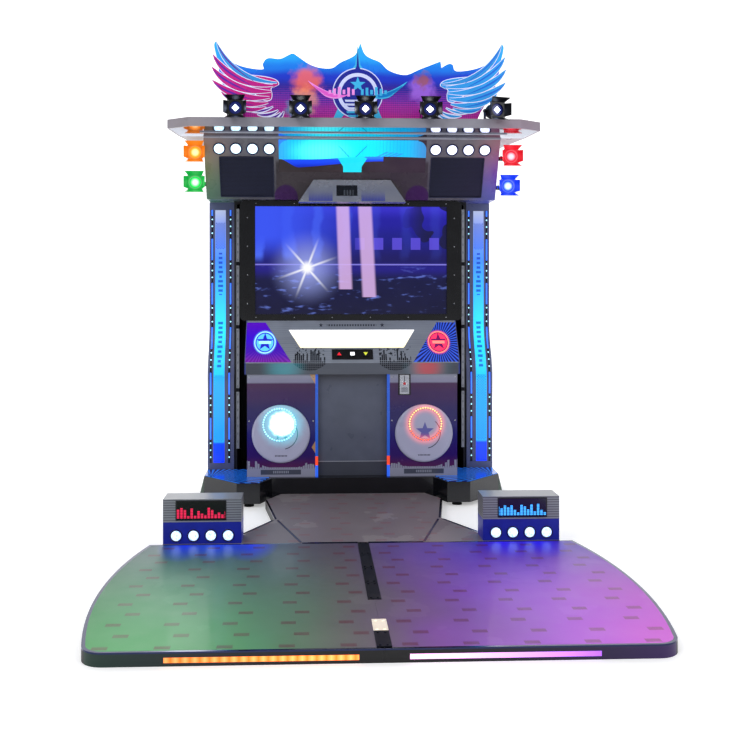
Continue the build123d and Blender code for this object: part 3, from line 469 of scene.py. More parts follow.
def spun(profile, steps=40):
    """Closed turned shape about +Z from (radius, height) pairs; both ends lie on the axis."""
    bm = bmesh.new()
    rim = [bm.verts.new((radius, 0, height)) for radius, height in profile]
    edges = [bm.edges.new(pair) for pair in zip(rim, rim[1:])]
    bmesh.ops.spin(bm, geom=rim + edges, cent=(0, 0, 0), axis=(0, 0, 1), angle=math.tau,
                   steps=steps, use_merge=True)
    bmesh.ops.remove_doubles(bm, verts=bm.verts, dist=1e-6)
    bmesh.ops.recalc_face_normals(bm, faces=bm.faces)
    return bm


def facing(place, outwards):
    """Turns +Z to outwards and moves the origin to place."""
    turned = Vector(outwards).to_track_quat("Z", "Y").to_matrix().to_4x4()
    return Matrix.Translation(Vector(place)) @ turned


def move(shape, matrix):
    bmesh.ops.transform(shape, matrix=matrix, verts=shape.verts)


def place_all(shapes):
    """Joins several bmesh shapes, each with its matrix, into one."""
    whole = bmesh.new()
    for shape, matrix in shapes:
        move(shape, matrix)
        mesh = bpy.data.meshes.new("joined")
        shape.to_mesh(mesh)
        shape.free()
        whole.from_mesh(mesh)
        bpy.data.meshes.remove(mesh)
    return whole


box_low, box_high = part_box("floor_boxes")
display_finishes = {
    -1: level_display_finish("red_level_display", "140a14", "d02048", 0.0165),
    1: level_display_finish("blue_level_display", "0a1030", "3fa8ff", 0.0165),
}
window_rim, *_ = finish("window_rim", tint("15161c"), 0.3, coat=0.4)
floor_box_width = 0.380
for side, word in ((-1, "left"), (1, "right")):
    outer = side * box_high.x
    inner = side * (box_high.x - floor_box_width)
    x_low, x_high = sorted((outer - side * 0.067, inner + side * 0.079))
    rim = block_mesh((x_low - 0.006, box_low.y - 0.003, box_low.z + 0.113),
                     (x_high + 0.006, box_low.y + 0.004, box_high.z - 0.006), 0.0015)
    cabinet_object(f"floor_box_{word}_window_rim", rim, window_rim)
    window = block_mesh((x_low, box_low.y - 0.0045, box_low.z + 0.118),
                        (x_high, box_low.y - 0.002, box_high.z - 0.011), 0.0008)
    cabinet_object(f"floor_box_{word}_level_display", window, display_finishes[side])

bezel_blue, *_ = finish("dark_blue_bezel", tint("10143c"), 0.25, coat=0.5)


def lens_finish(name, colour, halo, strength):
    """Domed lens, white-hot in the middle."""
    material, tree, shader, (x, y, z, where) = finish(name, tint(colour), 0.12, coat=0.6, depth=0.02)
    facets = tree.nodes.new("ShaderNodeTexVoronoi")
    facets.inputs["Scale"].default_value = 130
    tree.links.new(where, facets.inputs["Vector"])
    spread = SurfaceValue(tree, facets.outputs["Distance"]) * 0.9
    glow = blend_paint(tree, spread, tint(colour), tint(halo))
    put(tree, shader.inputs["Base Color"], glow)
    lit(tree, shader, glow, strength)
    return material


blue_white_lens = lens_finish("blue_white_lens", "e8f4ff", "5fa0ff", 1.6)


def round_lamp(radius):
    """Bezel ring and domed lens, facing +Z, with the seat at height 0."""
    bezel = spun([(0.0, 0.0), (radius * 1.08, 0.0), (radius * 1.12, 0.003), (radius * 1.06, 0.0075),
                  (radius * 0.94, 0.007), (radius * 0.88, 0.003), (0.0, 0.003)])
    lens = spun([(0.0, 0.0032), (radius * 0.87, 0.0032), (radius * 0.80, 0.0065),
                 (radius * 0.58, 0.0100), (radius * 0.30, 0.0120), (0.0, 0.0126)])
    return bezel, lens


lamp_radius = 0.0285
bezels, lenses = [], []
lamp_low, lamp_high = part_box("floor_box_lamps")
lamp_z = (lamp_low.z + lamp_high.z) / 2
for side in (-1, 1):
    for index in range(4):
        x = side * (lamp_high.x - lamp_radius - index * 0.084)
        seat = facing((x, box_low.y - 0.0002, lamp_z), (0, -1, 0))
        bezel, lens = round_lamp(lamp_radius * 0.98)
        bezels.append((bezel, seat))
        lenses.append((lens, seat))
cabinet_object("floor_box_lamp_bezels", place_all(bezels), bezel_blue, smooth=True)
floor_lenses = cabinet_object("floor_box_lamp_lenses", place_all(lenses), blue_white_lens,
                              smooth=True, slot="lamp_white")
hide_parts("floor_box_lamps")


# ---- plinth, skirts and feet ----
# Black laminated base on six rubber-footed levelling screws, with rays printed in blue on the two
# wing tops, a chrome-like front edge line and pressed grey-green skirts at the sides.
dress("base_plinth", finish("plinth_laminate", tint("0d0e14"), 0.22, coat=0.6, grain=120)[0])
dress("levelling_feet", finish("foot_rubber", tint("141414"), 0.7, grain=700, depth=0.2)[0])
dress("side_skirts", finish("skirt_paint", tint("5f6b64"), 0.45, grain=500, depth=0.08)[0])


def rays(across, up, centre, count):
    """Alternating rays round a centre, 0 or 1."""
    u = across - centre[0]
    v = up - centre[1]
    angle = calc(across.tree, "ARCTAN2", v, u)
    return calc(across.tree, "FRACT", angle * (count / math.tau)) > 0.5


def wing_print():
    material, tree, shader, (x, y, z, where) = finish(
        "blue_ray_print", tint("1450c8"), 0.2, coat=0.5, depth=0.03)
    low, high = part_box("plinth_top_panels")
    side = abs(x)
    fan = rays(side, y, (high.x - 0.04, low.y + 0.19), 44)
    deep = blend_paint(tree, fan, tint("0a1c6c"), tint("2a86ff"))
    # painted shade: the rays fade into dark navy towards the front
    shade = y * -2.2 + 2.2
    put(tree, shader.inputs["Base Color"], blend_paint(tree, shade, deep, tint("0a1c6c")))
    # faint painted glow of the printed rays
    lit(tree, shader, deep, 0.25)
    return material


dress("plinth_top_panels", wing_print())


# ---- carcass, rear door and electronics ----
# Painted board carcass with a hinged service door behind; inside stand the computer and the
# amplifier in black sheet-metal cases. The door has pressed louvres, a pull and a cam lock.
dress("cabinet_carcass", finish("carcass_paint", tint("17181f"), 0.5, grain=350, depth=0.08)[0])
dress("electronics", finish("case_paint", tint("1d1e20"), 0.4, grain=500, depth=0.1)[0])
door_paint, *_ = finish("door_powder_coat", tint("202228"), 0.5, grain=700, depth=0.15)
dress("rear_door", door_paint)
door_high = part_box("rear_door")[1]
louvres = []
for row in range(12):
    z = door_high.z - 0.16 - row * 0.028
    for x in (-0.22, 0.22):
        slat = block_mesh((x - 0.12, door_high.y - 0.0035, z),
                          (x + 0.12, door_high.y + 0.0015, z + 0.012), 0.002)
        louvres.append((slat, Matrix()))
cabinet_object("rear_door_louvres", place_all(louvres), door_paint, body="rear_door")
pull = block_mesh((-0.37, door_high.y - 0.003, 0.98), (-0.34, door_high.y + 0.002, 1.12), 0.0025, 3)
cabinet_object("rear_door_pull", pull, finish("pull_plastic", tint("0c0c0d"), 0.35)[0], body="rear_door")


# ---- columns ----
# Grey laminated S-curved columns. A lit acrylic strip runs down each, graded grey to blue, cyan
# and deep blue, checked near its top and foot, between two rows of LED dots and bars.
column_paint, column_tree, column_shader, (_, cy, _, _) = finish(
    "column_laminate", tint("7f828c"), 0.3, coat=0.4, grain=200, depth=0.05)
column_base = ground(column_shader)
# painted blue light from the lit strips over the front of the columns
front_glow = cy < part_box("column_frames")[0].y + 0.14
painted_blue_light = front_glow * 0.55
put(column_tree, column_shader.inputs["Base Color"],
    blend_paint(column_tree, painted_blue_light, column_base, tint("2b3f86")))
dress("column_frames", column_paint)
column_low, column_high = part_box("column_light_panels")


def column_light_finish():
    material, tree, shader, (x, y, z, where) = finish(
        "column_light_strip", tint("30a0ff"), 0.2, coat=0.5, depth=0.02)
    stops = [(0.0, "0030ff"), (0.075, "0a3cff"), (0.085, "1f9cff"), (0.30, "20a8ff"),
             (0.52, "28c8ff"), (0.66, "30a4ff"), (0.80, "3a78e8"), (0.94, "6f84c8"), (1.0, "9aa4c0")]
    tall = column_high.z - column_low.z
    share = (z - column_low.z) / tall
    strip_edge, strip_width = 0.803, 0.068
    side = abs(x) - strip_edge
    u = side / strip_width
    check = calc(tree, "SINE", (side + z) * 185) * calc(tree, "SINE", (side - z) * 185)
    dots = abs(check) > 0.45
    foot_zone = between(share, 0.085, 0.345)
    head_zone = between(share, 0.845, 0.95)
    dots = dots * (foot_zone + head_zone)
    dots = dots * between(u, 0.06, 0.94)
    # generic vertical pattern of bars and lozenges
    word_zone = between(share, 0.375, 0.555) + between(share, 0.66, 0.83)
    bars = cycle(z, 0.03) > 0.45
    width = calc(tree, "FRACT", calc(tree, "SINE", calc(tree, "FLOOR", z / 0.03) * 7.3) * 31.7)
    reach = width * 0.14 + 0.12
    bars = bars * (abs(u - 0.5) < reach)
    marks = larger(dots, bars * word_zone)
    colour = blend_paint(tree, marks * 0.8, gradient(tree, share, stops, "LINEAR"), tint("0a2f8c"))
    put(tree, shader.inputs["Base Color"], colour)
    lit(tree, shader, colour, 0.95)
    return material


dress("column_light_panels", column_light_finish())


def led_strip_finish():
    """Black strip with groups of three dots, then a bar, all lit blue, over and over."""
    material, tree, shader, (x, y, z, where) = finish(
        "led_dot_strip", tint("0a1440"), 0.25, coat=0.5, depth=0.02)
    side = abs(x)
    inner_edge = side < 0.3
    inner_row, outer_row, group_pitch = 0.7725, 0.8895, 0.285
    inner_mid = abs(side - inner_row)
    outer_mid = abs(side - outer_row)
    off = calc(tree, "MINIMUM", inner_mid, outer_mid)
    run = cycle(z, group_pitch, column_low.z)
    bar = (run > 0.52) * (off < 0.0042)
    dot_run = cycle(run, 0.155, 0.05) - 0.5
    dot_up = dot_run * (0.155 * group_pitch)
    square = dot_up * dot_up + off * off
    dot = square < 0.0045 ** 2
    dot = dot * (run < 0.515)
    on = larger(larger(bar, dot), inner_edge)
    colour = blend_paint(tree, dot, tint("2f6bff"), tint("9fe6ff"))
    red_foot = inner_edge * between(z, 0.215, 0.27)
    colour = blend_paint(tree, red_foot, colour, tint("ff5030"))
    edge_blue = inner_edge * (z > 0.27)
    colour = blend_paint(tree, edge_blue, colour, tint("1c50b8"))
    put(tree, shader.inputs["Base Color"], blend_paint(tree, on, tint("080c28"), colour))
    lit(tree, shader, colour, 0.0)
    strength = on * 1.4 - inner_edge * 1.0
    put(tree, shader.inputs["Emission Strength"], strength)
    return material


dress("led_strips", led_strip_finish())


# ---- screen ----
# Flat panel in a black glossy surround held by small countersunk screws, on two slotted silver
# uprights. It shows an abstract light show: shafts, pale beams, a flare and a glinting floor.
def near(across, up, centre):
    """Distance of a point on a face from a centre."""
    u = across - centre[0]
    v = up - centre[1]
    square = u * u + v * v
    return calc(square.tree, "SQRT", square)


def fade(value, low, high):
    """Smooth step from 0 at low to 1 at high."""
    tree = value.tree
    node = tree.nodes.new("ShaderNodeMapRange")
    node.interpolation_type = "SMOOTHSTEP"
    put(tree, node.inputs["Value"], value)
    node.inputs["From Min"].default_value = low
    node.inputs["From Max"].default_value = high
    return SurfaceValue(tree, node.outputs[0])


def slanted(across, up, foot, head, half_width):
    """1 within a straight beam between two points of a face, with soft edges."""
    slope = (head[0] - foot[0]) / (head[1] - foot[1])
    centre = up * slope + (foot[0] - slope * foot[1])
    off = abs(across - centre)
    inside = fade(off, half_width, half_width * 0.6)
    return inside * between(up, foot[1], head[1])


def screen_finish():
    material, tree, shader, (x, y, z, where) = finish(
        "screen_picture", tint("10103a"), 0.12, coat=0.5, depth=0.01)
    low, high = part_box("screen_glass")
    v = (z - low.z) / (high.z - low.z)
    colour = gradient(tree, v, [(0.0, "0c1030"), (0.30, "141a48"), (0.43, "3c2f9c"), (0.50, "2a1c78"),
                                (0.70, "2c2a9e"), (0.86, "3a2fb4"), (1.0, "5a50d8")])
    # light shafts behind, brighter on the left
    patches = speckle(tree, where, 4.2, 4.0)
    shafts = calc(tree, "SINE", x * 34 + patches * 5)
    shafts = fade(shafts, 0.1, 0.95) * fade(v, 0.46, 0.56)
    left = fade(x, 0.25, -0.55)
    right = fade(x, 0.28, 0.52)
    colour = blend_paint(tree, shafts * (left * 0.75 + 0.12), colour, tint("7ea0ff"))
    colour = blend_paint(tree, left * fade(v, 0.42, 0.75), colour, tint("5a78f4"))
    # dark screens and lilac windows on the right
    blocks = speckle(tree, where, 7.5, 1.0) > 0.52
    hall = blocks * (right * fade(v, 0.45, 0.6))
    colour = blend_paint(tree, hall * 0.85, colour, tint("140a3c"))
    windows = between(cycle(x, 0.118), 0.2, 0.72) * between(v, 0.6, 0.71)
    windows = windows * fade(x, -0.05, 0.1)
    colour = blend_paint(tree, windows * 0.7, colour, tint("8d7cf0"))
    # glinting dance floor
    stretched = tree.nodes.new("ShaderNodeMapping")
    stretched.inputs["Scale"].default_value = (1.0, 1.0, 3.4)
    stretched.inputs["Rotation"].default_value = (0, math.radians(18), 0)
    tree.links.new(where, stretched.inputs["Vector"])
    glints = speckle(tree, stretched.outputs[0], 11, 6.0)
    floor_zone = fade(v, 0.46, 0.40)
    glint = fade(glints, 0.56, 0.7) * floor_zone
    colour = blend_paint(tree, glint * 0.75, colour, tint("8fa2e8"))
    edge = between(v, 0.455, 0.468)
    colour = blend_paint(tree, edge * 0.7, colour, tint("b9b4ff"))
    colour = deepen(tree, colour, 1.5)
    # two pale beams in the middle
    for foot, head, half in (((-0.035, 1.29), (-0.055, 1.83), 0.050),
                             ((0.115, 1.24), (0.085, 1.83), 0.052)):
        beam = slanted(x, z, foot, head, half)
        colour = blend_paint(tree, beam * 0.75, colour, tint("e0b8ec"))
    # flare
    flare_place = (low.x * 0.46, low.z + 0.43 * (high.z - low.z))
    distance = near(x, z, flare_place)
    halo = fade(distance, 0.26, 0.0)
    core = fade(distance, 0.055, 0.015)
    colour = blend_paint(tree, halo * 0.7, colour, tint("a8b4ff"))
    for turn in (0.35, 1.2, 2.3):
        across = (x - flare_place[0]) * math.sin(turn)
        upward = (z - flare_place[1]) * math.cos(turn)
        off = abs(across - upward)
        ray = fade(off, 0.012, 0.0) * fade(distance, 0.22, 0.0)
        core = larger(core, ray)
    colour = blend_paint(tree, core, colour, (1, 1, 1, 1))
    put(tree, shader.inputs["Base Color"], (0.004, 0.004, 0.01, 1))
    lit(tree, shader, colour, 1.0)
    return material


dress("screen_glass", screen_finish())
bezel_paint, *_ = finish("black_bezel", tint("06070c"), 0.2, coat=0.5, grain=200, depth=0.03)
dress("tv_bezel", bezel_paint)
dress("tv_set", finish("tv_back_shell", tint("0c0c0f"), 0.5, grain=600, depth=0.1)[0])


def rail_finish():
    """Silver extrusion with dark joints and small slots every few centimetres."""
    material, tree, shader, (x, y, z, where) = finish(
        "silver_upright", tint("8f939c"), 0.35, metallic=0.7, grain=240, depth=0.06)
    joint = cycle(z, 0.4, 0.24) < 0.06
    off = abs(abs(x) - 0.717)
    slots = between(cycle(z, 0.05), 0.35, 0.65) * (off < 0.002)
    base = ground(shader)
    dark = larger(joint, slots * 0.8)
    put(tree, shader.inputs["Base Color"], blend_paint(tree, dark, base, tint("101018")))
    return material


dress("tv_rails", rail_finish())
screw_steel, *_ = finish("zinc_screw", tint("b9bcc2"), 0.28, metallic=0.9, grain=900, depth=0.1)


def screw_head(radius, height):
    """Domed head with a round recess, facing +Z."""
    head = spun([(0.0, 0.0), (radius, 0.0), (radius * 0.96, height * 0.45),
                 (radius * 0.75, height * 0.85),
                 (radius * 0.45, height), (radius * 0.40, height * 0.45), (0.0, height * 0.35)], 16)
    return head


def screws(name, spots, outwards, radius=0.0035, height=0.002, body="cabinet"):
    shapes = [(screw_head(radius, height), facing(spot, outwards)) for spot in spots]
    return cabinet_object(name, place_all(shapes), screw_steel, smooth=True, body=body)


bezel_low, bezel_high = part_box("tv_bezel")
glass_low, glass_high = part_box("screen_glass")
screw_z = ((bezel_high.z + glass_high.z) / 2, (bezel_low.z + glass_low.z) / 2)
screw_x = (bezel_high.x + glass_high.x) / 2
spots = []
for z in screw_z:
    for index in range(6):
        spots.append(((index - 2.5) * 0.24, bezel_low.y - 0.0002, z))
for side in (-1, 1):
    for z in (1.20, 1.38, 1.56, 1.74):
        spots.append((side * screw_x, bezel_low.y - 0.0002, z))
screws("tv_bezel_screws", spots, (0, -1, 0))
glass_edge, *_ = finish("glass_edge_gasket", tint("020204"), 0.4)
gasket = []
for low, high in (((glass_low.x - 0.004, glass_low.z - 0.004), (glass_high.x + 0.004, glass_low.z)),
                  ((glass_low.x - 0.004, glass_high.z), (glass_high.x + 0.004, glass_high.z + 0.004)),
                  ((glass_low.x - 0.004, glass_low.z), (glass_low.x, glass_high.z)),
                  ((glass_high.x, glass_low.z), (glass_high.x + 0.004, glass_high.z))):
    strip = block_mesh((low[0], bezel_low.y + 0.008, low[1]), (high[0], glass_low.y + 0.001, high[1]))
    gasket.append((strip, Matrix()))
cabinet_object("screen_gasket", place_all(gasket), glass_edge)


# ---- bass boxes ----
# Two printed boxes: grey band over purple and navy, with a skyline of level bars at the foot and a
# pale dished disc in front of each woofer. The right disc has a ring of single LEDs, the left one
# glows cyan from behind, and blue edge strips run down the inner sides.
def bass_print():
    material, tree, shader, (x, y, z, where) = finish(
        "bass_box_print", tint("220052"), 0.24, coat=0.6, depth=0.03)
    low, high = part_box("bass_boxes")
    side = abs(x)
    v = (z - low.z) / (high.z - low.z)
    colour = gradient(tree, v, [(0.0, "3a1038"), (0.10, "4a1450"), (0.22, "240560"), (0.42, "0c0468"),
                                (0.62, "120458"), (0.80, "30064e"), (0.905, "3c1446"), (0.925, "80809a"),
                                (1.0, "8b8ea0")])
    cloud = speckle(tree, where, 5.0, 3.0)
    colour = blend_paint(tree, cloud * 0.35, colour, tint("0a0230"))
    # skyline of level bars
    bar_pitch = 0.0145
    column = calc(tree, "FLOOR", side / bar_pitch)
    tall = calc(tree, "FRACT", calc(tree, "SINE", column * 5.3) * 57.3)
    outer = fade(side, 0.50, 0.60)
    inner = fade(side, 0.34, 0.26)
    rise = tall * (outer + inner)
    level = rise * 0.05 + (low.z + 0.058)
    skyline = z < level
    gaps = cycle(side, bar_pitch) > 0.16
    above = larger(gaps, z < low.z + 0.05)
    skyline = skyline * above
    colour = blend_paint(tree, skyline, colour, tint("83859a"))
    label = between(side, 0.315, 0.56) * between(z, low.z + 0.014, low.z + 0.044)
    colour = blend_paint(tree, label * 0.85, colour, tint("20283a"))
    marks = between(side, 0.39, 0.485) * between(z, low.z + 0.022, low.z + 0.037)
    marks = marks * (cycle(side, 0.011) > 0.45)
    colour = blend_paint(tree, marks * 0.7, colour, tint("8f93a8"))
    # gold corner flashes on the left box
    left = x < 0.0
    slope = side + (high.z - z) * 0.55
    gold = (slope < 0.262) * left
    low_slope = side + abs(z - (low.z + 0.18)) * 0.6
    gold = larger(gold, (low_slope < 0.25) * left)
    colour = blend_paint(tree, gold * 0.75, colour, tint("b98a4e"))
    put(tree, shader.inputs["Base Color"], colour)
    # faint painted glow over the print
    lit(tree, shader, colour, 0.10)
    return material


dress("bass_boxes", bass_print())
disc_low, disc_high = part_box("bass_discs")
disc_radius = (disc_high.z - disc_low.z) / 2
disc_z = (disc_high.z + disc_low.z) / 2
disc_x = disc_high.x - disc_radius


def star_shape(across, up, centre, radius, core, points=5):
    """1 inside a star with a point upwards."""
    tree = across.tree
    u = across - centre[0]
    v = up - centre[1]
    share = calc(tree, "ARCTAN2", u, v) * (points / math.tau)
    nearest = calc(tree, "FRACT", share + 0.5) - 0.5
    angle = abs(nearest) * (math.tau / points)
    tip = math.pi / points
    core_x, core_y = core * math.cos(tip), core * math.sin(tip)
    along = calc(tree, "COSINE", angle) * core_y
    aside = calc(tree, "SINE", angle) * (radius - core_x)
    reach = near(across, up, centre) * (along + aside)
    return reach < core_y * radius


def disc_print(name, side):
    """Pale satin disc with a generic star badge; the lit side has its glow behind the middle, and the
    right disc carries a painted orange-red glow of its ring LEDs.
    """
    material, tree, shader, (x, y, z, where) = finish(
        name, tint("a7a8c4"), 0.3, coat=0.4, depth=0.03, wear=0.03)
    middle = (side * disc_x, disc_z)
    base = ground(shader)
    badge = (side * (disc_x + 0.006 * side), disc_z + 0.012)
    star = star_shape(x, z, badge, 0.058, 0.024)
    ink = tint("3b3a9a") if side > 0 else tint("1c5a78")
    colour = blend_paint(tree, star * 0.8, base, ink)
    swash = between(near(x, z, (badge[0], badge[1] - 0.01)), 0.092, 0.097)
    swash = swash * (x > badge[0] + 0.02) * (z < badge[1] + 0.06)
    dashes = between(z, disc_z - 0.137, disc_z - 0.129) * (abs(x - middle[0]) < 0.038)
    dashes = dashes * (cycle(x, 0.0085) > 0.3)
    colour = blend_paint(tree, larger(swash, dashes), colour, tint("2a2c44"))
    if side < 0:
        hot = near(x, z, (middle[0] + 0.006, disc_z + 0.062))
        rough = speckle(tree, where, 46, 4.0) * 0.03 - 0.015
        hot = hot + rough
        core = fade(hot, 0.088, 0.060)
        halo = fade(hot, 0.165, 0.070)
        glow = blend_paint(tree, core, tint("18c8d8"), tint("e6ffff"))
        strength = core * 1.3 + halo * 0.65
    else:
        # painted orange-red glow of the ring LEDs on the right disc
        ring_far = near(x, z, (disc_x + 0.008, disc_z + 0.058))
        off = abs(ring_far - 0.098)
        halo = fade(off, 0.05, 0.0)
        glow = blend_paint(tree, halo, tint("7a2020"), tint("ff5a28"))
        strength = halo * 0.65
    put(tree, shader.inputs["Base Color"], colour)
    put(tree, shader.inputs["Emission Color"], glow)
    put(tree, shader.inputs["Emission Strength"], strength)
    return material


disc_thickness = disc_high.y - disc_low.y
discs = []
for side, word in ((-1, "left"), (1, "right")):
    dish = spun([(0.0, 0.0), (disc_radius, 0.0), (disc_radius, 0.006), (disc_radius - 0.004, 0.0105),
                 (disc_radius - 0.014, disc_thickness), (disc_radius - 0.030, 0.0085),
                 (disc_radius * 0.62, 0.0072), (disc_radius * 0.3, 0.0085), (0.0, 0.0088)], 96)
    move(dish, facing((side * disc_x, disc_high.y, disc_z), (0, -1, 0)))
    disc = cabinet_object(f"bass_disc_{word}", dish, disc_print(f"disc_print_{word}", side),
                          smooth=True, slot="white_disc")
    discs.append(disc)
for disc in discs:
    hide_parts("bass_discs")

# single LEDs round the discs
ring_low, ring_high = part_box("bass_led_rings")
ring_z = (ring_low.z + ring_high.z) / 2
ring_outer = (ring_high.z - ring_low.z) / 2
ring_x = ring_high.x - ring_outer
ring_middle = ring_outer - 0.007
carrier_paint, *_ = finish("led_ring_carrier", tint("9a98b0"), 0.35, coat=0.3)
led_orange = lens_finish("orange_led", "ffd890", "ff8a20", 2.2)
led_red = lens_finish("red_led", "ff7a50", "ff2a10", 1.8)
led_cyan = lens_finish("cyan_led", "d8ffff", "40e0f0", 1.2)


def led_bead(radius=0.0048):
    return spun([(0.0, 0.0), (radius, 0.0), (radius, 0.0014), (radius * 0.72, 0.0030), (0.0, 0.0036)],
                12)


led_count = 40
ring_pieces = []
for side, word in ((-1, "left"), (1, "right")):
    carrier = spun([(ring_middle - 0.007, 0.0), (ring_middle + 0.007, 0.0),
                    (ring_middle + 0.007, 0.0008),
                    (ring_middle - 0.007, 0.0008), (ring_middle - 0.007, 0.0)], 72)
    move(carrier, facing((side * ring_x, ring_high.y + 0.0018, ring_z), (0, -1, 0)))
    carrier_finish = carrier_paint if side > 0 else disc_print("ring_print_left", -1)
    carrier = cabinet_object(f"led_ring_carrier_{word}", carrier, carrier_finish, slot="led_ring")
    ring_pieces.append(carrier)
    upper, lower = [], []
    for index in range(led_count):
        angle = math.tau * index / led_count
        spot = (side * ring_x + ring_middle * math.sin(angle), ring_high.y + 0.0008,
                ring_z + ring_middle * math.cos(angle))
        group = upper if math.cos(angle) > -0.35 else lower
        group.append((led_bead(), facing(spot, (0, -1, 0))))
    top_finish, foot_finish = (led_orange, led_red) if side > 0 else (led_cyan, led_cyan)
    cabinet_object(f"ring_leds_{word}_upper", place_all(upper), top_finish, smooth=True)
    cabinet_object(f"ring_leds_{word}_lower", place_all(lower), foot_finish, smooth=True)
for carrier in ring_pieces:
    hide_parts("bass_led_rings")

bass_low, bass_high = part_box("bass_boxes")
spots = []
for side in (-1, 1):
    for x in (0.241, 0.630):
        for z in (bass_high.z - 0.018, disc_z + 0.078, bass_low.z + 0.075):
            if not (side > 0 and x > 0.6 and z < 0.3):
                spots.append((side * x, bass_low.y - 0.0002, z))
screws("bass_box_screws", spots, (0, -1, 0), 0.0045)


# ---- woofers and header loudspeakers ----
# Pressed baskets with paper cones behind the discs and the header grilles.
dress("speaker_drivers", finish("speaker_cone", tint("141416"), 0.6, grain=500, depth=0.2)[0])


# ---- coin plate ----
# Stamped steel entry plate on a black surround, with a slot, a return button and a hinged flap
# over the return cup.
def coin_finish():
    material, tree, shader, (x, y, z, where) = finish(
        "coin_entry_steel", tint("b9bcc4"), 0.22, metallic=0.9, grain=260, depth=0.08)
    low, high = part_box("coin_plate")
    middle_x, middle_z = (low.x + high.x) / 2, (low.z + high.z) / 2
    off_x = abs(x - middle_x) / 0.0287
    off_z = abs(z - middle_z) / 0.0587
    outside = larger(off_x, off_z) > 1.0
    deep = y > low.y + 0.0045
    dark = larger(outside, deep)
    base = ground(shader)
    brushed = speckle(tree, where, 60, 2.0)
    base = blend_paint(tree, brushed * 0.4, base, tint("6f7480"))
    put(tree, shader.inputs["Base Color"], blend_paint(tree, dark, base, tint("0a0a0d")))
    put(tree, shader.inputs["Metallic"], dark * -0.9 + 0.9)
    return material


dress("coin_plate", coin_finish())
dress("coin_return_button", finish("coin_button_plastic", tint("c02430"), 0.25, coat=0.5)[0])
dress("coin_return_flap", finish("coin_flap_steel", tint("8e929a"), 0.25, metallic=0.9)[0])
coin_low, coin_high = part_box("coin_plate")
button_low, button_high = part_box("coin_return_button")
button_middle = (button_low + button_high) / 2
collar = spun([(0.0098, 0.0), (0.0150, 0.0), (0.0146, 0.0016), (0.0105, 0.0022), (0.0098, 0.0012),
               (0.0098, 0.0)], 32)
move(collar, facing((button_middle.x, coin_low.y + 0.0003, button_middle.z), (0, -1, 0)))
cabinet_object("coin_button_collar", collar,
               finish("bright_collar", tint("d6d8de"), 0.15, metallic=1.0)[0],
               smooth=True)
corner_x, corner_z = 0.0225, 0.0525
middle = (coin_low + coin_high) / 2
screws("coin_plate_screws", [(middle.x + sx * corner_x, coin_low.y + 0.0002, middle.z + sz * corner_z)
                             for sx in (-1, 1) for sz in (-1, 1)], (0, -1, 0), 0.003, 0.0016)


# ---- centre panel ----
# Grey-blue laminate between the bass boxes, with a pale joint line above a darker kick board.
def centre_finish():
    material, tree, shader, (x, y, z, where) = finish(
        "grey_laminate", tint("565c6e"), 0.3, coat=0.35, grain=220, depth=0.05, wear=0.12)
    low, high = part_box("centre_panel")
    line_z = low.z + 0.084
    base = ground(shader)
    kick = z < line_z
    colour = blend_paint(tree, kick * 0.75, base, tint("33353f"))
    line = between(z, line_z, line_z + 0.004)
    colour = blend_paint(tree, line * 0.7, colour, tint("a8acb8"))
    top_shade = fade(z, high.z - 0.10, high.z)
    colour = blend_paint(tree, top_shade * 0.6, colour, tint("3a3a40"))
    put(tree, shader.inputs["Base Color"], colour)
    return material


dress("centre_panel", centre_finish())


# ---- console ----
# Brushed silver housing with a sloped face: a warm white lamp, two printed corner panels with
# star badges, level-bar prints by the lower edge and a black plate with three push buttons.
lights_low, lights_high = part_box("console_lights")
plate_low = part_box("button_plate")[0]


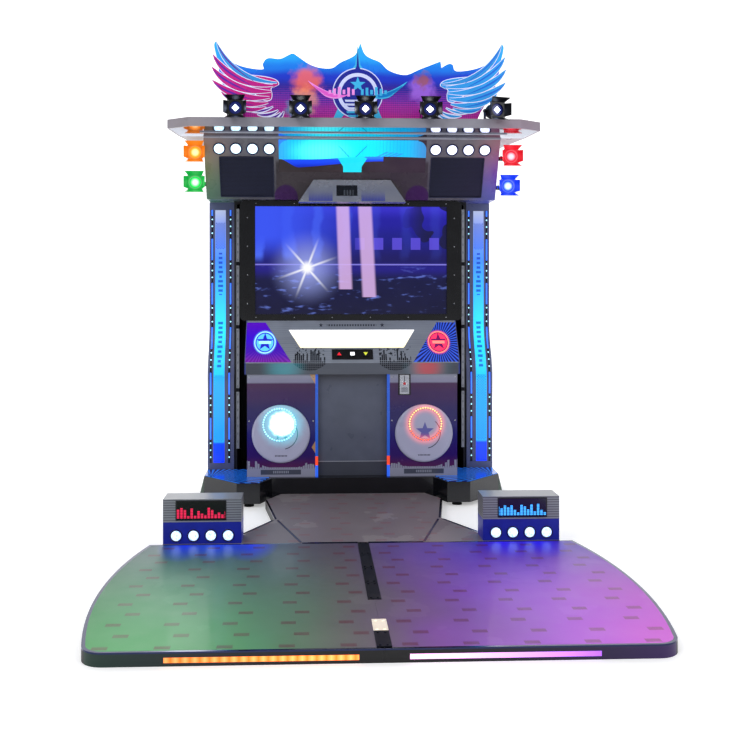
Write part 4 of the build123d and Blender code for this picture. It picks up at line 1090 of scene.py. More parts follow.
def console_finish():
    material, tree, shader, (x, y, z, where) = finish(
        "brushed_console", tint("8f97a6"), 0.34, metallic=0.55, grain=160, depth=0.05)
    stretched = tree.nodes.new("ShaderNodeMapping")
    stretched.inputs["Scale"].default_value = (1.0, 60.0, 60.0)
    tree.links.new(where, stretched.inputs["Vector"])
    lines = speckle(tree, stretched.outputs[0], 3.0, 3.0)
    base = ground(shader)
    colour = blend_paint(tree, lines * 0.55, base, tint("c4c9d2"))
    fine_lines = cycle(z, 0.0115) > 0.86
    colour = blend_paint(tree, fine_lines * 0.25, colour, tint("5c6270"))
    side = abs(x)
    # dark lip below the slope, tinted by the lamps underneath
    lip = z < plate_low.z - 0.02
    lip_colour = blend_paint(tree, fade(side, 0.30, 0.62), tint("4a4e58"), tint("30343f"))
    colour = blend_paint(tree, lip * 0.85, colour, lip_colour)
    cyan = fade(near(x, z, (-0.42, 0.815)), 0.16, 0.02) * lip
    red = fade(near(x, z, (0.46, 0.815)), 0.17, 0.02) * lip
    # level bars with a splash of ink above them
    off = abs(side - 0.262)
    zone = off < 0.098
    bar_pitch = 0.0118
    column = calc(tree, "FLOOR", x / bar_pitch)
    tall = calc(tree, "FRACT", calc(tree, "SINE", column * 9.1) * 23.7)
    bar = z < tall * 0.07 + (plate_low.z - 0.012)
    cup = off * off * 4.4 + (plate_low.z - 0.068)
    bar = bar * (z > cup)
    bar = bar * between(cycle(x, bar_pitch), 0.12, 0.88)
    grid = (cycle(z, 0.0115) < 0.22) * (z < plate_low.z - 0.004)
    bar = bar * (1.0 - grid)
    splash = speckle(tree, where, 62, 2.0) > 0.6
    splash = splash * between(z, plate_low.z + 0.022, plate_low.z + 0.085)
    ink = larger(bar, splash) * zone
    colour = blend_paint(tree, ink * 0.93, colour, tint("0c0e16"))
    # a dotted line between two small stars above the lamp
    title_z = lights_high.z - 0.016
    title_band = between(z, title_z - 0.006, title_z + 0.005)
    dots = between(cycle(x, 0.0165), 0.22, 0.8) * title_band * (side < 0.155)
    for star_x in (-0.192, 0.192):
        dots = larger(dots, star_shape(x, z, (star_x, title_z), 0.0145, 0.006))
    slope = y < 1.12
    colour = blend_paint(tree, dots * slope * 0.9, colour, tint("1a1c2c"))
    edge = (side > 0.65) * 0.6
    colour = blend_paint(tree, edge, colour, tint("2a3a9c"))
    put(tree, shader.inputs["Base Color"], colour)
    glow = blend_paint(tree, red, tint("10b8c8"), tint("ff2a20"))
    put(tree, shader.inputs["Emission Color"], glow)
    strength = (cyan + red) * 0.32
    put(tree, shader.inputs["Emission Strength"], strength)
    return material


dress("console_shell", console_finish())


def console_light_finish():
    material, tree, shader, (x, y, z, where) = finish(
        "lit_console_panels", tint("ffffff"), 0.2, coat=0.4, depth=0.02)
    share = (z - lights_low.z) / (lights_high.z - lights_low.z)
    side = abs(x)
    # the corner panels begin where the lamp's own slanted ends stop
    border = share * 0.142 + 0.355
    corner = side > border
    right = x > 0.0
    warm = gradient(tree, share, [(0.36, "fff0c4"), (0.55, "fff6d8"), (0.80, "ffffff")])
    middle_z = (lights_low.z + lights_high.z) / 2
    badge = (0.538, middle_z)
    far = near(side, z, badge)
    spokes = rays(side, z, badge, 46)
    left_paint = gradient(tree, share,
                          [(0.0, "5a1080"), (0.25, "3a0a9c"), (0.6, "3408b8"), (1.0, "4a0aa8")])
    right_paint = blend_paint(tree, spokes, tint("0a0a50"), tint("2f52c4"))
    low_rays = spokes * fade(share, 0.35, 0.05)
    left_paint = blend_paint(tree, low_rays * 0.4, left_paint, tint("8030b0"))
    paint = blend_paint(tree, right, left_paint, right_paint)
    ring = between(far, 0.0585, 0.0665)
    dark_gap = between(far, 0.052, 0.0585)
    plate = far < 0.052
    star = star_shape(side, z, (badge[0], badge[1] + 0.002), 0.054, 0.023)
    line = between(far, 0.066, 0.073)
    bright = blend_paint(tree, right, tint("4fa8ff"), tint("ff3058"))
    pale = blend_paint(tree, right, tint("8fd0ff"), tint("ff7a70"))
    dark = blend_paint(tree, right, tint("1a1c9c"), tint("5a1048"))
    paint = blend_paint(tree, line * 0.25, paint, bright)
    paint = blend_paint(tree, plate, paint, bright)
    paint = blend_paint(tree, dark_gap, paint, dark)
    paint = blend_paint(tree, ring, paint, pale)
    paint = blend_paint(tree, star * plate, paint, dark)
    bar = (abs(z - middle_z) < 0.0085) * (far < 0.038)
    paint = blend_paint(tree, bar, paint, pale)
    colour = blend_paint(tree, corner, warm, paint)
    put(tree, shader.inputs["Base Color"], colour)
    put(tree, shader.inputs["Emission Color"], colour)
    badge_light = fade(far, 0.075, 0.05)
    strength = badge_light * 0.5 + 0.62
    lamp = 1.0 - corner
    strength = lamp * 0.3 + strength
    put(tree, shader.inputs["Emission Strength"], strength)
    return material


dress("console_lights", console_light_finish())
dress("button_plate", finish("black_button_plate", tint("07080c"), 0.25, coat=0.4)[0])

# slope of the console, for what lies on it
slope_rise = Vector((0, lights_high.y - lights_low.y, lights_high.z - lights_low.z)).normalized()
slope_out = Vector((0, -slope_rise.z, slope_rise.y))


def on_slope(x, point, lift):
    """Turns +Z to the slope's outward side, with +Y up the slope."""
    across = Vector((1, 0, 0))
    turned = Matrix((across, slope_rise, slope_out)).transposed().to_4x4()
    return Matrix.Translation(Vector((x, point.y, point.z)) + slope_out * lift) @ turned


def prism(points, height, bevel=0.0004):
    """Flat plate of a given outline on the XY plane, with a slightly eased upper edge."""
    bm = bmesh.new()
    corners = [bm.verts.new((x, y, 0)) for x, y in points]
    face = bm.faces.new(corners)
    face.normal_update()
    if face.normal.z < 0:
        face.normal_flip()
    raised = bmesh.ops.extrude_face_region(bm, geom=[face])
    upper = [item for item in raised["geom"] if isinstance(item, bmesh.types.BMVert)]
    bmesh.ops.translate(bm, vec=(0, 0, height), verts=upper)
    bmesh.ops.recalc_face_normals(bm, faces=bm.faces)
    if bevel:
        rim = [edge for edge in bm.edges if all(vert in upper for vert in edge.verts)]
        bmesh.ops.bevel(bm, geom=rim, offset=bevel, affect="EDGES", segments=1, profile=0.5, material=-1)
    return bm


button_looks = {
    "button_up": ("ff2030", [(-0.013, -0.010), (0.013, -0.010), (0.0, 0.012)]),
    "button_select": ("ffffff", [(-0.013, -0.012), (0.013, -0.012), (0.013, 0.012), (-0.013, 0.012)]),
    "button_down": ("d8e040", [(-0.013, 0.010), (0.0, -0.012), (0.013, 0.010)]),
}
for button, (mark, outline) in button_looks.items():
    dress(button, finish(f"{button}_cap", tint("0e0f14"), 0.25, coat=0.5)[0])
    low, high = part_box(button)
    middle = (low + high) / 2
    sign = prism(outline, 0.0008, 0.0002)
    centre = Vector((0, middle.y, middle.z))
    # the cap's outermost corner along the slope's outward normal
    reach = max(slope_out.dot(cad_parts[button].data.vertices[index].co) for index in
                range(len(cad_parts[button].data.vertices)))
    lift = reach - slope_out.dot(centre) + 0.0002
    move(sign, on_slope(middle.x, centre, lift))
    mark_paint, tree, shader, (x, y, z, where) = finish(f"{button}_sign", tint(mark), 0.3)
    lit(tree, shader, tint(mark), 1.0 if button == "button_select" else 0.55)
    cabinet_object(f"{button}_sign", sign, mark_paint, body=button)


# ---- header ----
# Leaning grey header with four round lamps each side, a back-lit picture box in the middle and a
# perforated loudspeaker grille either side. The side lamps wash its ends with their colours.
head_low, head_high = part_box("header_shell")
face_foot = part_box("sensor_hood")[1].y
face_rise = Vector((0, head_low.y - face_foot, head_high.z - head_low.z)).normalized()
face_out = Vector((0, -face_rise.z, face_rise.y))


def on_face(x, z, lift=0.0):
    """Turns +Z to the leaning face's outward side, with +Y up the face."""
    y = face_foot + (z - head_low.z) * face_rise.y / face_rise.z
    turned = Matrix((Vector((1, 0, 0)), face_rise, face_out)).transposed().to_4x4()
    return Matrix.Translation(Vector((x, y, z)) + face_out * lift) @ turned


def side_wash(tree, x, z):
    """Spill of the four coloured side lamps on the header's ends."""
    glow = None
    total = None
    for centre, code, power in (((-0.95, 1.93), "0c8a40", 0.34), ((-0.97, 2.13), "c07810", 0.22),
                                ((0.97, 2.12), "d82048", 0.24), ((0.95, 1.92), "2038f0", 0.34)):
        amount = fade(near(x, z, centre), 0.3, 0.02) * power
        total = amount if total is None else total + amount
        if glow is None:
            glow = tint(code)
        else:
            share = amount / (total + 0.0001)
            glow = blend_paint(tree, share, glow, tint(code))
    return glow, total


def header_finish():
    material, tree, shader, (x, y, z, where) = finish(
        "header_laminate", tint("77747c"), 0.28, coat=0.45, grain=200, depth=0.04, wear=0.1)
    side = abs(x)
    base = ground(shader)
    shade = fade(z, head_high.z - 0.02, head_low.z + 0.05)
    colour = blend_paint(tree, shade * 0.62, base, tint("2c2c3a"))
    fore = y < head_high.y - 0.03
    middle = fade(side, 0.475, 0.465) * fade(z, 2.085, 2.06)
    middle = middle * fore
    brown = blend_paint(tree, speckle(tree, where, 3.5, 2.0), tint("2a2226"), tint("4c4448"))
    colour = blend_paint(tree, middle * 0.92, colour, brown)
    off = near(side, z, (0.41, 1.862))
    dome = fade(off, 0.076, 0.072) * (side < 0.48)
    dome = dome * fore
    colour = blend_paint(tree, dome * 0.85, colour, tint("38104e"))
    put(tree, shader.inputs["Base Color"], colour)
    glow, total = side_wash(tree, x, z)
    put(tree, shader.inputs["Emission Color"], glow)
    put(tree, shader.inputs["Emission Strength"], total * fore)
    return material


dress("header_shell", header_finish())


def lightbox_finish():
    """Cyan ribbed light with a wavy deep-blue band below, on a dark glossy panel."""
    material, tree, shader, (x, y, z, where) = finish(
        "lit_header_picture", tint("10c8e8"), 0.18, coat=0.5, depth=0.02)
    low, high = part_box("header_lightbox")
    across = x / high.x
    up = (z - low.z) / (high.z - low.z)
    # capsule-ended light area
    side = abs(x)
    corner = near(side, z, (high.x - 0.050, high.z - 0.058))
    in_corner = (side > high.x - 0.05) * (z > high.z - 0.058)
    cut = in_corner * (corner > 0.05)
    wave = calc(tree, "SINE", across * 2.6 + 0.5) * 0.035 + 0.42
    lit_low = wave + fade(across, -0.55, 0.1) * 0.03
    area = up > lit_low
    area = area * (1.0 - cut)
    ribs = cycle(x, 0.021) > 0.82
    centre = fade(near(across, up, (-0.42, 0.62)), 0.55, 0.05)
    cyan = gradient(tree, across * 0.5 + 0.5,
                    [(0.0, "2a90c8"), (0.12, "10a8d8"), (0.3, "12d8e8"), (0.6, "10c8e0"),
                     (0.85, "10a0d0"), (1.0, "3078b0")])
    cyan = blend_paint(tree, centre * 0.6, cyan, tint("60fff4"))
    cyan = blend_paint(tree, ribs * 0.28, cyan, tint("0a7aa8"))
    # abstract wing strokes and a chevron in the light
    for foot, head, half in (((0.020, 2.098), (0.085, 2.160), 0.006),
                             ((-0.020, 2.098), (-0.085, 2.160), 0.006)):
        stroke = slanted(x, z, foot, head, half)
        cyan = blend_paint(tree, stroke * 0.6, cyan, tint("0a5a90"))
    for index in range(4):
        foot = (0.135 + index * 0.030, 2.092)
        head = (0.215 + index * 0.030, 2.128 - index * 0.003)
        stroke = slanted(x, z, foot, head, 0.011)
        cyan = blend_paint(tree, stroke * 0.65, cyan, tint("2c50d0"))
    # blue swoosh under the light on the left, tapering to the right
    foot_wave = fade(across, -1.0, 0.42) * 0.22 + 0.12
    left_rise = fade(across, -0.72, -1.0) * 0.28
    foot_wave = foot_wave + left_rise
    band = (up > foot_wave) * (across < 0.42)
    blue = gradient(tree, up, [(0.1, "0a1ca0"), (0.35, "1840d8"), (0.45, "2a78f0")])
    dark = blend_paint(tree, speckle(tree, where, 6, 3.0), tint("30262a"), tint("4e4448"))
    colour = blend_paint(tree, band, dark, blue)
    pool = star_shape(x, z, (0.0, 2.062), 0.095, 0.060, 5)
    pool = pool * (z < 2.1)
    colour = blend_paint(tree, pool * 0.9, colour, tint("18d0e0"))
    colour = blend_paint(tree, area, colour, cyan)
    put(tree, shader.inputs["Base Color"], colour)
    put(tree, shader.inputs["Emission Color"], colour)
    strength = area * 1.0 + 0.05
    strength = larger(strength, larger(band, pool) * 0.75)
    put(tree, shader.inputs["Emission Strength"], strength)
    return material


dress("header_lightbox", lightbox_finish())


def grille_finish():
    """Perforated steel: staggered round holes in dark navy."""
    material, tree, shader, (x, y, z, where) = finish(
        "perforated_grille", tint("1b1f3a"), 0.5, metallic=0.3, grain=300, depth=0.1)
    pitch = 0.0075
    row = calc(tree, "FLOOR", z / pitch)
    stagger = calc(tree, "FRACT", row * 0.5) * pitch
    u = cycle(x + stagger, pitch) - 0.5
    v = cycle(z, pitch) - 0.5
    square = u * u + v * v
    hole = square < 0.1
    base = ground(shader)
    # painted purple light from the red and blue side lamps towards the right end
    right = fade(x, 0.45, 0.85)
    base = blend_paint(tree, right * 0.35, base, tint("2c1c48"))
    colour = blend_paint(tree, hole, base, tint("06070d"))
    put(tree, shader.inputs["Base Color"], colour)
    return material


dress("speaker_grilles", grille_finish())
rim_navy, *_ = finish("navy_lamp_rim", tint("1c2a5c"), 0.25, metallic=0.4, coat=0.4)
cyan_lens = lens_finish("cool_white_lens", "f4ffff", "b0f0ff", 2.0)
violet_lens = lens_finish("violet_white_lens", "ffffff", "c8d0ff", 2.0)
lamp_low, lamp_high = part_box("header_lamps")
header_lamp_radius = 0.037
row_z = (lamp_low.z + lamp_high.z) / 2
rims, left_lenses, right_lenses = [], [], []
for side in (-1, 1):
    for index in range(4):
        seat = on_face(side * (lamp_high.x - header_lamp_radius - index * 0.101), row_z, 0.0004)
        rim, lens = round_lamp(header_lamp_radius * 0.93)
        rims.append((rim, seat))
        (left_lenses if side < 0 else right_lenses).append((lens, seat))
cabinet_object("header_lamp_rims", place_all(rims), rim_navy, smooth=True)
header_left = cabinet_object("header_lenses_left", place_all(left_lenses), cyan_lens, smooth=True,
                             slot="lamp_white")
header_right = cabinet_object("header_lenses_right", place_all(right_lenses), violet_lens, smooth=True,
                              slot="lamp_white")
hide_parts("header_lamps")
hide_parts("header_lamps")

# slim frames round the grilles
grille_low, grille_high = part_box("speaker_grilles")
grille_width, frame_bar = 0.326, 0.006
for side, word in ((-1, "left"), (1, "right")):
    middle_x = side * (grille_high.x - grille_width / 2)
    middle_z = (grille_low.z + grille_high.z) / 2
    tall = (grille_high.z - grille_low.z) / face_rise.z - 0.003
    bars = []
    for sx in (-1, 1):
        bar = block_mesh((sx * grille_width / 2 - frame_bar / 2, -tall / 2, 0),
                         (sx * grille_width / 2 + frame_bar / 2, tall / 2, 0.0025), 0.0006, 1)
        bars.append((bar, on_face(middle_x, middle_z, 0.0028)))
    for sy in (-1, 1):
        bar = block_mesh((-grille_width / 2, sy * tall / 2 - frame_bar / 2, 0),
                         (grille_width / 2, sy * tall / 2 + frame_bar / 2, 0.0025), 0.0006, 1)
        bars.append((bar, on_face(middle_x, middle_z, 0.0028)))
    cabinet_object(f"grille_frame_{word}", place_all(bars), finish(
        f"grille_frame_{word}", tint("2a2d44"), 0.4, metallic=0.5)[0])


# ---- sensor hood ----
# Silver trapezoid hood with two blue shaded patches, chrome screws and a dark sensor window that
# has a white rim.
def hood_finish():
    material, tree, shader, (x, y, z, where) = finish(
        "silver_hood", tint("9396a2"), 0.26, metallic=0.55, coat=0.3, grain=220, depth=0.04)
    base = ground(shader)
    low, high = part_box("sensor_hood")
    middle_x = -0.033
    off = abs(x - middle_x)
    patch = between(off, 0.088, 0.235) * between(z, low.z + 0.006, low.z + 0.082)
    depth_share = fade(z, low.z + 0.085, low.z + 0.0)
    lines = (cycle(x, 0.009) > 0.4) * 0.35 + 0.65
    amount = patch * depth_share * lines
    colour = blend_paint(tree, amount, base, tint("3c46a8"))
    # painted highlight: paler and warmer towards the top
    warm = fade(z, low.z + 0.07, high.z)
    colour = blend_paint(tree, warm * 0.35, colour, tint("c2beb8"))
    put(tree, shader.inputs["Base Color"], colour)
    return material


dress("sensor_hood", hood_finish())


def sensor_finish():
    material, tree, shader, (x, y, z, where) = finish(
        "smoked_sensor_window", tint("08090c"), 0.12, coat=0.6, depth=0.01)
    low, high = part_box("motion_sensor")
    u = (x - low.x) / (high.x - low.x)
    v = (z - low.z) / (high.z - low.z)
    grey = between(u, 0.3, 0.82) * between(v, 0.38, 0.72)
    marks = grey * (cycle(u, 0.14) > 0.45)
    base = ground(shader)
    colour = blend_paint(tree, marks * 0.5, base, tint("5c6068"))
    put(tree, shader.inputs["Base Color"], colour)
    return material


dress("motion_sensor", sensor_finish())


# ---- canopy ----
# Grey board tray with a mirror underneath that doubles the lamps below it, and two pale strips
# across its rear.
canopy_paint, canopy_tree, canopy_shader, (kx, _, kz, _) = finish(
    "canopy_laminate", tint("8d8c97"), 0.3, coat=0.35, grain=200, depth=0.04)
# painted spill of the coloured side lamps' light, as a glow on the canopy
wash, wash_total = side_wash(canopy_tree, kx, kz - 0.06)
put(canopy_tree, canopy_shader.inputs["Emission Color"], wash)
put(canopy_tree, canopy_shader.inputs["Emission Strength"], wash_total * 0.35)
dress("canopy_shell", canopy_paint)
dress("canopy_mirror", finish("mirror_acrylic", tint("8088a0"), 0.06, metallic=1.0, grain=3, depth=0.01,
                              wear=0.02)[0])
canopy_low, canopy_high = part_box("canopy_shell")
strip_paint, *_ = finish("pale_canopy_strip", tint("b9bac4"), 0.3, coat=0.3)
for index, y in enumerate((0.880, 0.700)):
    strip = block_mesh((-0.90, y - 0.007, canopy_low.z - 0.006), (0.90, y + 0.007, canopy_low.z), 0.0012)
    cabinet_object(f"canopy_strip_{index + 1}", strip, strip_paint)


# ---- printed board ----
# Cut-out board over the canopy: blue over violet and magenta ground with fine upright lines, a
# ring badge with a long star point, and a feathered wing at each end, magenta left and blue right.
board_low, board_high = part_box("marquee_board")
board_front = board_low.y
board_middle = (board_low.x + board_high.x) / 2
board_foot = canopy_high.z


def smooth_line(points, steps=6, closed=True):
    """Catmull-Rom curve through points; a point given twice stays a sharp corner."""
    count = len(points)
    line = []
    for index in range(count if closed else count - 1):
        before, start = points[index - 1], points[index]
        end, after = points[(index + 1) % count], points[(index + 2) % count]
        if not closed and index == 0:
            before = start
        if not closed and index == count - 2:
            after = end
        if start == end:
            continue
        for step in range(steps):
            t = step / steps
            line.append(tuple(0.5 * (2 * b + (c - a) * t + (2 * a - 5 * b + 4 * c - d) * t ** 2
                                     + (3 * b - a - 3 * c + d) * t ** 3)
                              for a, b, c, d in zip(before, start, end, after)))
    if not closed:
        line.append(points[-1])
    return line


def on_board(lift):
    """Turns the XY plane upright on the board's front, with heights measured from the canopy."""
    front = Matrix(((1, 0, 0), (0, 0, -1), (0, 1, 0))).to_4x4()
    return Matrix.Translation((board_middle, board_front - lift, board_foot)) @ front


def board_piece(name, outlines, low, high, material, bevel=0.0004):
    shapes = [(prism([(u / 1000, v / 1000) for u, v in outline], high - low, bevel), on_board(low))
              for outline in outlines]
    return cabinet_object(name, place_all(shapes), material)


def board_print():
    material, tree, shader, (x, y, z, where) = finish(
        "board_ground_print", tint("1060d0"), 0.26, coat=0.4, depth=0.03, wear=0.04)
    u = x - board_middle
    share = (z - board_foot) / (board_high.z - board_foot)
    sway = speckle(tree, where, 3.0, 3.0) * 0.16 - 0.08
    share = share + sway
    colour = gradient(tree, share,
                      [(0.0, "b0187c"), (0.16, "8c1c90"), (0.30, "4a1f98"), (0.42, "1d1c8e"),
                                    (0.55, "1430b8"), (0.68, "1070d8"), (0.82, "1d98e4"), (1.0,
                                                                                           "2aa4e0")])
    lines = cycle(x, 0.0125) > 0.55
    low_part = fade(share, 0.50, 0.22)
    colour = blend_paint(tree, lines * low_part * 0.42,
                         colour, tint("3a1460"))
    cross = cycle(z, 0.0125) > 0.6
    colour = blend_paint(tree, cross * low_part * 0.25,
                         colour, tint("e03cb0"))
    # warm and cool flares where the picture is busiest
    for centre, radius, code, amount in (((-0.305, 0.235), 0.115, "e8643c", 0.75),
                                         ((-0.315, 0.120), 0.10, "f0a070", 0.5),
                                         ((0.365, 0.190), 0.10, "9a62d8", 0.75), ((0.372, 0.245), 0.06,
                                                                                  "8c4a3c", 0.8),
                                         ((-0.36, 0.07), 0.09, "1c90b0", 0.7)):
        rough = speckle(tree, where, 22, 4.0) * 0.1 - 0.05
        far = near(u, z - board_foot, centre) + rough
        colour = blend_paint(tree, fade(far, radius, radius * 0.35) * amount,
                             colour, tint(code))
    front = y < board_front + 0.002
    colour = blend_paint(tree, front, tint("55555c"), colour)
    put(tree, shader.inputs["Base Color"], colour)
    # faint painted glow of the printed front face
    lit(tree, shader, colour, 0.28)
    put(tree, shader.inputs["Emission Strength"], front * 0.28)
    return material


def board_ink(name, code, glow=0.25):
    material, tree, shader, (x, y, z, where) = finish(name, tint(code), 0.25, coat=0.4, depth=0.02,
                                                      wear=0.04)
    shade = speckle(tree, where, 6.0, 3.0)
    base = ground(shader)
    colour = blend_paint(tree, shade * 0.25, base, tint("14207c"))
    put(tree, shader.inputs["Base Color"], colour)
    # faint painted glow of the ink
    lit(tree, shader, colour, glow)
    return material


wing_edge = [(560, 300), (657, 310), (736, 340), (787, 386), (812, 436), (826, 458), (838, 440),
             (832, 400), (822, 360), (812, 300), (800, 240), (770, 170), (740, 120), (706, 66),
             (676, 0), (676, 0)]
crown_edge = [(-560, 330), (-531, 364), (-458, 362), (-392, 392), (-358, 376), (-292, 332),
              (-226, 311), (-160, 311), (-113, 343), (-52, 372), (-20, 398), (3, 458), (3, 458),
              (26, 398), (58, 372), (117, 347), (171, 299), (264, 275), (350, 309), (469, 356), (469,
                                                                                                 356),
              (474, 318), (474, 318), (515, 341), (540, 336)]
board_edge = [(-u, v) for u, v in reversed(wing_edge)] + crown_edge + wing_edge
board_mesh = prism([(u / 1000, v / 1000) for u, v in smooth_line(board_edge)], 0.012, 0.0008)
move(board_mesh, on_board(-0.012))
brackets = []
for x in (-0.4, 0.0, 0.4):
    rear = board_front + 0.012
    brackets.append((block_mesh((x - 0.02, rear, board_foot),
                                (x + 0.02, rear + 0.06, board_foot + 0.004), 0.0006), Matrix()))
    brackets.append((block_mesh((x - 0.02, rear, board_foot),
                                (x + 0.02, rear + 0.004, board_foot + 0.08), 0.0006), Matrix()))
board = cabinet_object("marquee_ground", board_mesh, board_print(), slot="printed_board")
bracket_piece = cabinet_object("marquee_brackets", place_all(brackets), canopy_paint)
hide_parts("marquee_board")
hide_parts("marquee_board")


def feather(root, bend, tip, width, swell=0.0):
    """Outline of a long feather along a curve from root to tip, widest beyond its middle."""
    steps = 14
    left, right = [], []
    for index in range(steps + 1):
        t = index / steps
        u = (1 - t) ** 2 * root[0] + 2 * t * (1 - t) * bend[0] + t ** 2 * tip[0]
        v = (1 - t) ** 2 * root[1] + 2 * t * (1 - t) * bend[1] + t ** 2 * tip[1]
        du = 2 * (1 - t) * (bend[0] - root[0]) + 2 * t * (tip[0] - bend[0])
        dv = 2 * (1 - t) * (bend[1] - root[1]) + 2 * t * (tip[1] - bend[1])
        length = math.hypot(du, dv)
        half = swell + width / 2 * max(0.0,
                                       math.sin(math.pi * min(1.0, t * 0.93 + 0.07) ** 1.25)) ** 0.75
        left.append((u - dv / length * half, v + du / length * half))
        right.append((u + dv / length * half, v - du / length * half))
    return left + list(reversed(right))


def mirrored(outline, side):
    return [(side * u, v) for u, v in outline]


feathers = [
    ((478, 222), (740, 232), (824, 452), 34), ((500, 205), (748, 205), (846, 384), 46),
    ((512, 172), (742, 160), (852, 312), 48), ((520, 138), (720, 112), (850, 236), 46),
    ((528, 108), (690, 74), (800, 168), 40), ((540, 84), (640, 44), (716, 96), 26),
]
petals = [((470, 66), (520, 26), (592, 40), 22), ((456, 52), (490, 14), (548, 16), 20),
          ((440, 60), (446, 26), (486, 4), 16), ((500, 86), (560, 48), (640, 60), 18)]
shoulder = [(690, 268), (600, 262), (520, 250), (482, 236), (470, 214), (492, 200), (514, 190),
            (508, 160), (514, 128), (548, 122), (590, 150), (650, 190), (716, 232)]
quill_white = board_ink("wing_outline_white", "dfe4ff", 0.35)
wing_inks = {-1: (board_ink("magenta_feather", "c0147e"), board_ink("deep_violet_feather", "5c1c9c")),
             1: (board_ink("sky_feather", "2c9ae8"), board_ink("mid_blue_feather", "1c6cd8"))}
for side, word in ((-1, "left"), (1, "right")):
    bright_ink, deep_ink = wing_inks[side]
    shoulder_line = mirrored(smooth_line(shoulder, 5), side)
    middle_u = sum(u for u, v in shoulder_line) / len(shoulder_line)
    middle_v = sum(v for u, v in shoulder_line) / len(shoulder_line)
    grown = []
    for u, v in shoulder_line:
        away = math.hypot(u - middle_u, v - middle_v)
        grown.append((u + (u - middle_u) / away * 5, v + (v - middle_v) / away * 5))
    board_piece(f"wing_{word}_shoulder_edge", [grown], 0.0, 0.0012, quill_white)
    board_piece(f"wing_{word}_shoulder", [shoulder_line], 0.0012, 0.0022, bright_ink)
    for index, (root, bend, tip, width) in enumerate(feathers):
        lift = 0.0016 + 0.0010 * (len(feathers) - index)
        outer = mirrored(feather(root, bend, tip, width, 2.2), side)
        inner = mirrored(feather(root, bend, tip, width * 0.90), side)
        core = mirrored(feather(((root[0] + bend[0]) / 2, (root[1] + bend[1]) / 2),
                                ((bend[0] + tip[0]) / 2, (bend[1] + tip[1]) / 2 - 6),
                                (tip[0] - 10, tip[1] - 16), width * 0.24), side)
        ink = board_ink(f"tip_feather_{word}", "2a8fd8") if index == 0 else bright_ink
        board_piece(f"wing_{word}_feather_{index + 1}_edge", [outer], 0.0, lift, quill_white)
        board_piece(f"wing_{word}_feather_{index + 1}", [inner], lift, lift + 0.0006, ink)
        board_piece(f"wing_{word}_feather_{index + 1}_quill", [core], lift + 0.0006, lift + 0.0010,
                    deep_ink)
    for index, (root, bend, tip, width) in enumerate(petals):
        outer = mirrored(feather(root, bend, tip, width, 3.0), side)
        inner = mirrored(feather(root, bend, tip, width * 0.62), side)
        board_piece(f"wing_{word}_petal_{index + 1}_edge", [outer], 0.0, 0.0014, quill_white)
        board_piece(f"wing_{word}_petal_{index + 1}", [inner], 0.0014, 0.0020, deep_ink if side
                    < 0 else bright_ink)


# ---- ring badge on the board ----
# Dark blue and white rings with a long star point above and two feet below, and an abstract
# winged bar across the middle.
def ring_outline(radius, steps=72):
    return [(radius * math.cos(math.tau * index / steps), 166 + radius
             * math.sin(math.tau * index / steps))
            for index in range(steps)]


badge_x = -12


def badge_piece(name, outlines, low, high, material):
    return board_piece(name, [[(u + badge_x, v) for u, v in outline] for outline in outlines], low,
                       high, material)


navy_ink = board_ink("navy_ring", "1a2390", 0.2)
pale_ink = board_ink("pale_ring", "c9d0f4", 0.35)
sky_ink = board_ink("sky_spike", "3ab0e0", 0.3)
pink_ink = board_ink("pink_stroke", "e88cdc", 0.4)
spike = [(-36, 290), (-12, 330), (0, 448), (12, 330), (36, 290)]
badge_piece("badge_spike_edge", [[(u * 1.25, v) for u, v in spike]], 0.0, 0.0014, sky_ink)
badge_piece("badge_spike", [[(u * 0.62, 290 + (v - 290) * 0.82) for u, v in spike]], 0.0014, 0.0022,
            navy_ink)
for side in (-1, 1):
    foot = [(side * 60, 60), (side * 118, 0), (side * 150, 0), (side * 110, 90)]
    badge_piece(f"badge_foot_{'left' if side < 0 else 'right'}", [foot], 0.0, 0.0012, sky_ink)
for name, radius, low, high, ink in (("rim", 147, 0.0, 0.0020, pale_ink),
                                     ("band", 141, 0.0020, 0.0028, navy_ink),
                                     ("inner_rim", 117, 0.0028, 0.0036, pale_ink), ("face", 96, 0.0036,
                                                                                    0.0044, navy_ink)):
    badge_piece(f"badge_{name}", [ring_outline(radius)], low, high, ink)
small_star = []
for index in range(10):
    reach = 46 if index % 2 == 0 else 19
    small_star.append((reach * math.sin(math.pi * index / 5), 232 + reach
                       * math.cos(math.pi * index / 5) - 16))
badge_piece("badge_star", [small_star], 0.0044, 0.0052, sky_ink)
stripes = []
for index in range(5):
    top = 128 - index * 22
    half = 84 - abs(index - 1) * 9
    stripes.append([(-half, top), (half, top), (half - 4, top - 12), (-half + 4, top - 12)])
badge_piece("badge_stripes", stripes[:3], 0.0044, 0.0052, pale_ink)
badge_piece("badge_low_stripes", stripes[3:], 0.0044, 0.0052, sky_ink)
for side, ink, word in ((-1, pink_ink, "left"), (1, sky_ink, "right")):
    strokes = []
    for index in range(4):
        root = (side * (70 - index * 4), 150 + index * 2)
        bend = (side * (190 - index * 16), 148 - index * 8)
        tip = (side * (288 - index * 26), 236 - index * 24)
        strokes.append(feather(root, bend, tip, 17, 0.5))
    badge_piece(f"badge_wing_{word}", strokes, 0.0052, 0.0062, ink)
    bars = []
    for index in range(6):
        tall = (34, 52, 26, 60, 40, 22)[index]
        u = side * (26 + index * 27)
        bars.append([(u - 8, 172 - tall / 2), (u + 8, 172 - tall / 2), (u + 8, 172 + tall / 2),
                     (u - 8, 172 + tall / 2)])
    badge_piece(f"badge_levels_{word}", bars, 0.0052, 0.0064, ink)


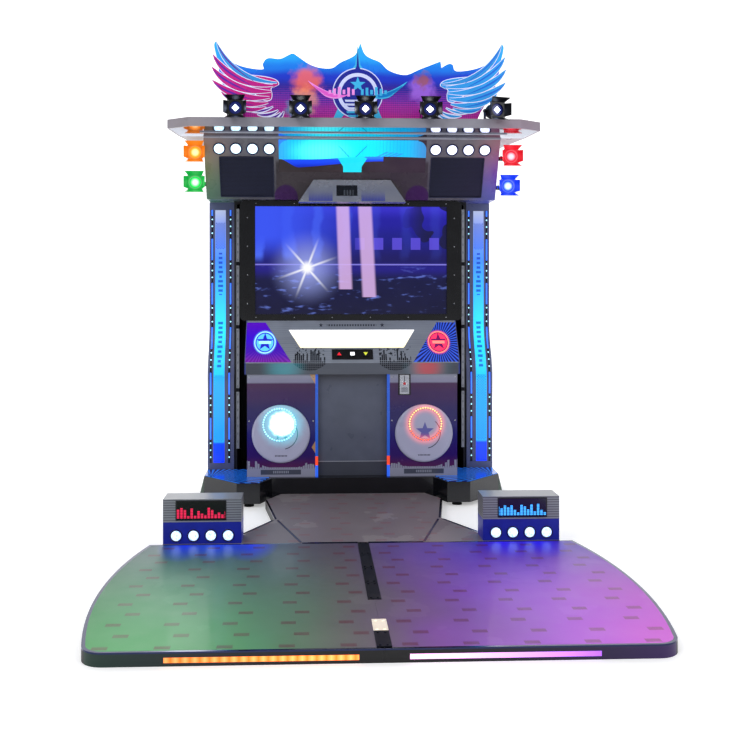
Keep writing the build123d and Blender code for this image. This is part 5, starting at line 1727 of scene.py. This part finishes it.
# ---- lamps on the board tray ----
# Five black barn-door lamps that pan and tilt: finned can, ridged lens with a square white diode
# turned on its corner, tilt knobs at the yoke, and screws in the front frame.
lamp_black, *_ = finish("black_lamp_enamel", tint("0b0c12"), 0.32, coat=0.3, grain=300, depth=0.04)
knob_rubber, *_ = finish("black_knob", tint("08080a"), 0.5, grain=150, depth=0.08)
dark_glass, glass_tree, glass_shader, _ = finish("dark_ridged_lens", tint("0c1030"),
                                                                    0.08, coat=0.8, depth=0.02)
lit(glass_tree, glass_shader, tint("2438b0"), 0.25)
yoke_drop = 0.047
lamp_radius = 0.040


def lamp_axis(node, count):
    """Middle of a lamp's yoke across and along, at height 0; the caller sets the tilt axis one yoke
    height over the canopy.
    """
    low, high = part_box(f"{node}_{count}")
    return Vector(((low.x + high.x) / 2, (low.y + high.y) / 2, 0.0))


def can_trim(place, head, name, lens_paint, shell_paint):
    """Lens, fins, knobs and frame screws of one lamp head; +Z of place points out of the lamp."""
    ridged = [(0.0, 0.0512), (0.0, 0.0535)]
    for index in range(1, 9):
        radius = index * 0.0039
        ridged.append((radius - 0.0018, 0.0540 - 0.00012 * index))
        ridged.append((radius, 0.0530 - 0.00012 * index))
    ridged.append((0.0350, 0.0512))
    ridged.append((0.0, 0.0512))
    lens = spun(ridged[1:], 48)
    move(lens, place)
    cabinet_object(f"{name}_lens", lens, lens_paint, body=head, smooth=True)
    fins = []
    for index in range(4):
        start = -0.006 + index * 0.010
        ring = spun([(0.0, start), (lamp_radius + 0.0022, start), (lamp_radius + 0.0022, start + 0.004),
                     (0.0, start + 0.004)], 48)
        fins.append((ring, place))
    for side in (-1, 1):
        knob = spun([(0.0, 0.0), (0.0085, 0.0), (0.0095, 0.002), (0.0095, 0.0045), (0.0080, 0.0060),
                     (0.0, 0.0060)], 20)
        fins.append((knob, place @ facing((side * 0.0515, 0, 0), (side, 0, 0))))
    cabinet_object(f"{name}_fins", place_all(fins), shell_paint, body=head)
    bolts = []
    for across in (-0.0395, 0.0395):
        for up in (-0.0395, 0.0395):
            bolts.append((screw_head(0.0026, 0.0014), place @ Matrix.Translation((across, up, 0.0619))))
    cabinet_object(f"{name}_frame_screws", place_all(bolts), screw_steel, body=head, smooth=True)


def diode_plate(place, head, name, code, strength):
    glow, tree, shader, (x, y, z, where) = finish(f"{name}_diode_glow", tint(code), 0.2, coat=0.4,
                                                  depth=0.02)
    lit(tree, shader, blend_paint(tree, speckle(tree, where, 90.0, 2.0), tint("ffffff"), tint(code)),
        strength)
    square = [(0.0205, 0), (0, 0.0205), (-0.0205, 0), (0, -0.0205)]
    plate = prism(square, 0.0020, 0.0006)
    move(plate, place @ Matrix.Translation((0, 0, 0.0538)))
    cabinet_object(f"{name}_diode", plate, glow, body=head)
    marks = []
    for across, up in ((0.0085, 0), (-0.0085, 0), (0, 0.0085), (0, -0.0085)):
        dot = spun([(0.0, 0.0), (0.0016, 0.0), (0.0013, 0.0006), (0.0, 0.0006)], 12)
        marks.append((dot, place @ Matrix.Translation((across, up, 0.0557))))
    cabinet_object(f"{name}_diode_marks", place_all(marks), knob_rubber, body=head)


lamp_height = canopy_high.z + yoke_drop
for count in range(1, 6):
    yoke, head = f"stage_lamp_yoke_{count}", f"stage_lamp_head_{count}"
    dress(yoke, lamp_black)
    dress(head, lamp_black)
    centre = lamp_axis("stage_lamp_yoke", count)
    turn = math.radians(18 if count == 5 else 0)
    place = facing((centre.x, centre.y, lamp_height), (math.sin(turn), -math.cos(turn), 0))
    can_trim(place, head, head, dark_glass, lamp_black)
    diode_plate(place, head, head, "a8c4ff" if count in (1, 5) else "f4f8ff",
                3.2 if count in (1, 5) else 4.0)


# ---- side lamps ----
# Two lamps on each side of the header: amber over green, red over blue. Each head glows in its
# colour and its lens burns white in the middle.
dress("side_lamp_brackets", lamp_black)
side_lamp_y = 0.9965
side_colours = (("amber", "e88010", "ffe8a0"), ("green", "08a840", "d8ffe0"),
                ("red", "e0182c", "ffc8d8"), ("blue", "103ce0", "d8f4ff"))
for count, (word, code, core) in enumerate(side_colours, 1):
    head = f"side_lamp_head_{count}"
    low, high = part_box(head)
    centre = Vector(((low.x + high.x) / 2, 0, (low.z + high.z) / 2))
    shell, tree, shader, (x, y, z, where) = finish(f"{word}_lit_enamel", tint(code), 0.35, coat=0.2,
                                                   depth=0.03)
    hot = near(x, z, (centre.x, centre.z))
    shade = blend_paint(tree, fade(hot, 0.046, 0.026), tint(code), tint(core))
    lit(tree, shader, shade, 0.40)
    dress(head, shell)
    lens_glow, tree, shader, (x, y, z, where) = finish(f"{word}_glowing_lens", tint(code), 0.15,
                                                       coat=0.5, depth=0.02)
    hot = near(x, z, (centre.x, centre.z))
    shade = blend_paint(tree, fade(hot, 0.030, 0.008), tint(code), tint(core))
    lit(tree, shader, shade, 1.6)
    place = facing((centre.x, side_lamp_y, centre.z), (0, -1, 0))
    can_trim(place, head, head, lens_glow, shell)
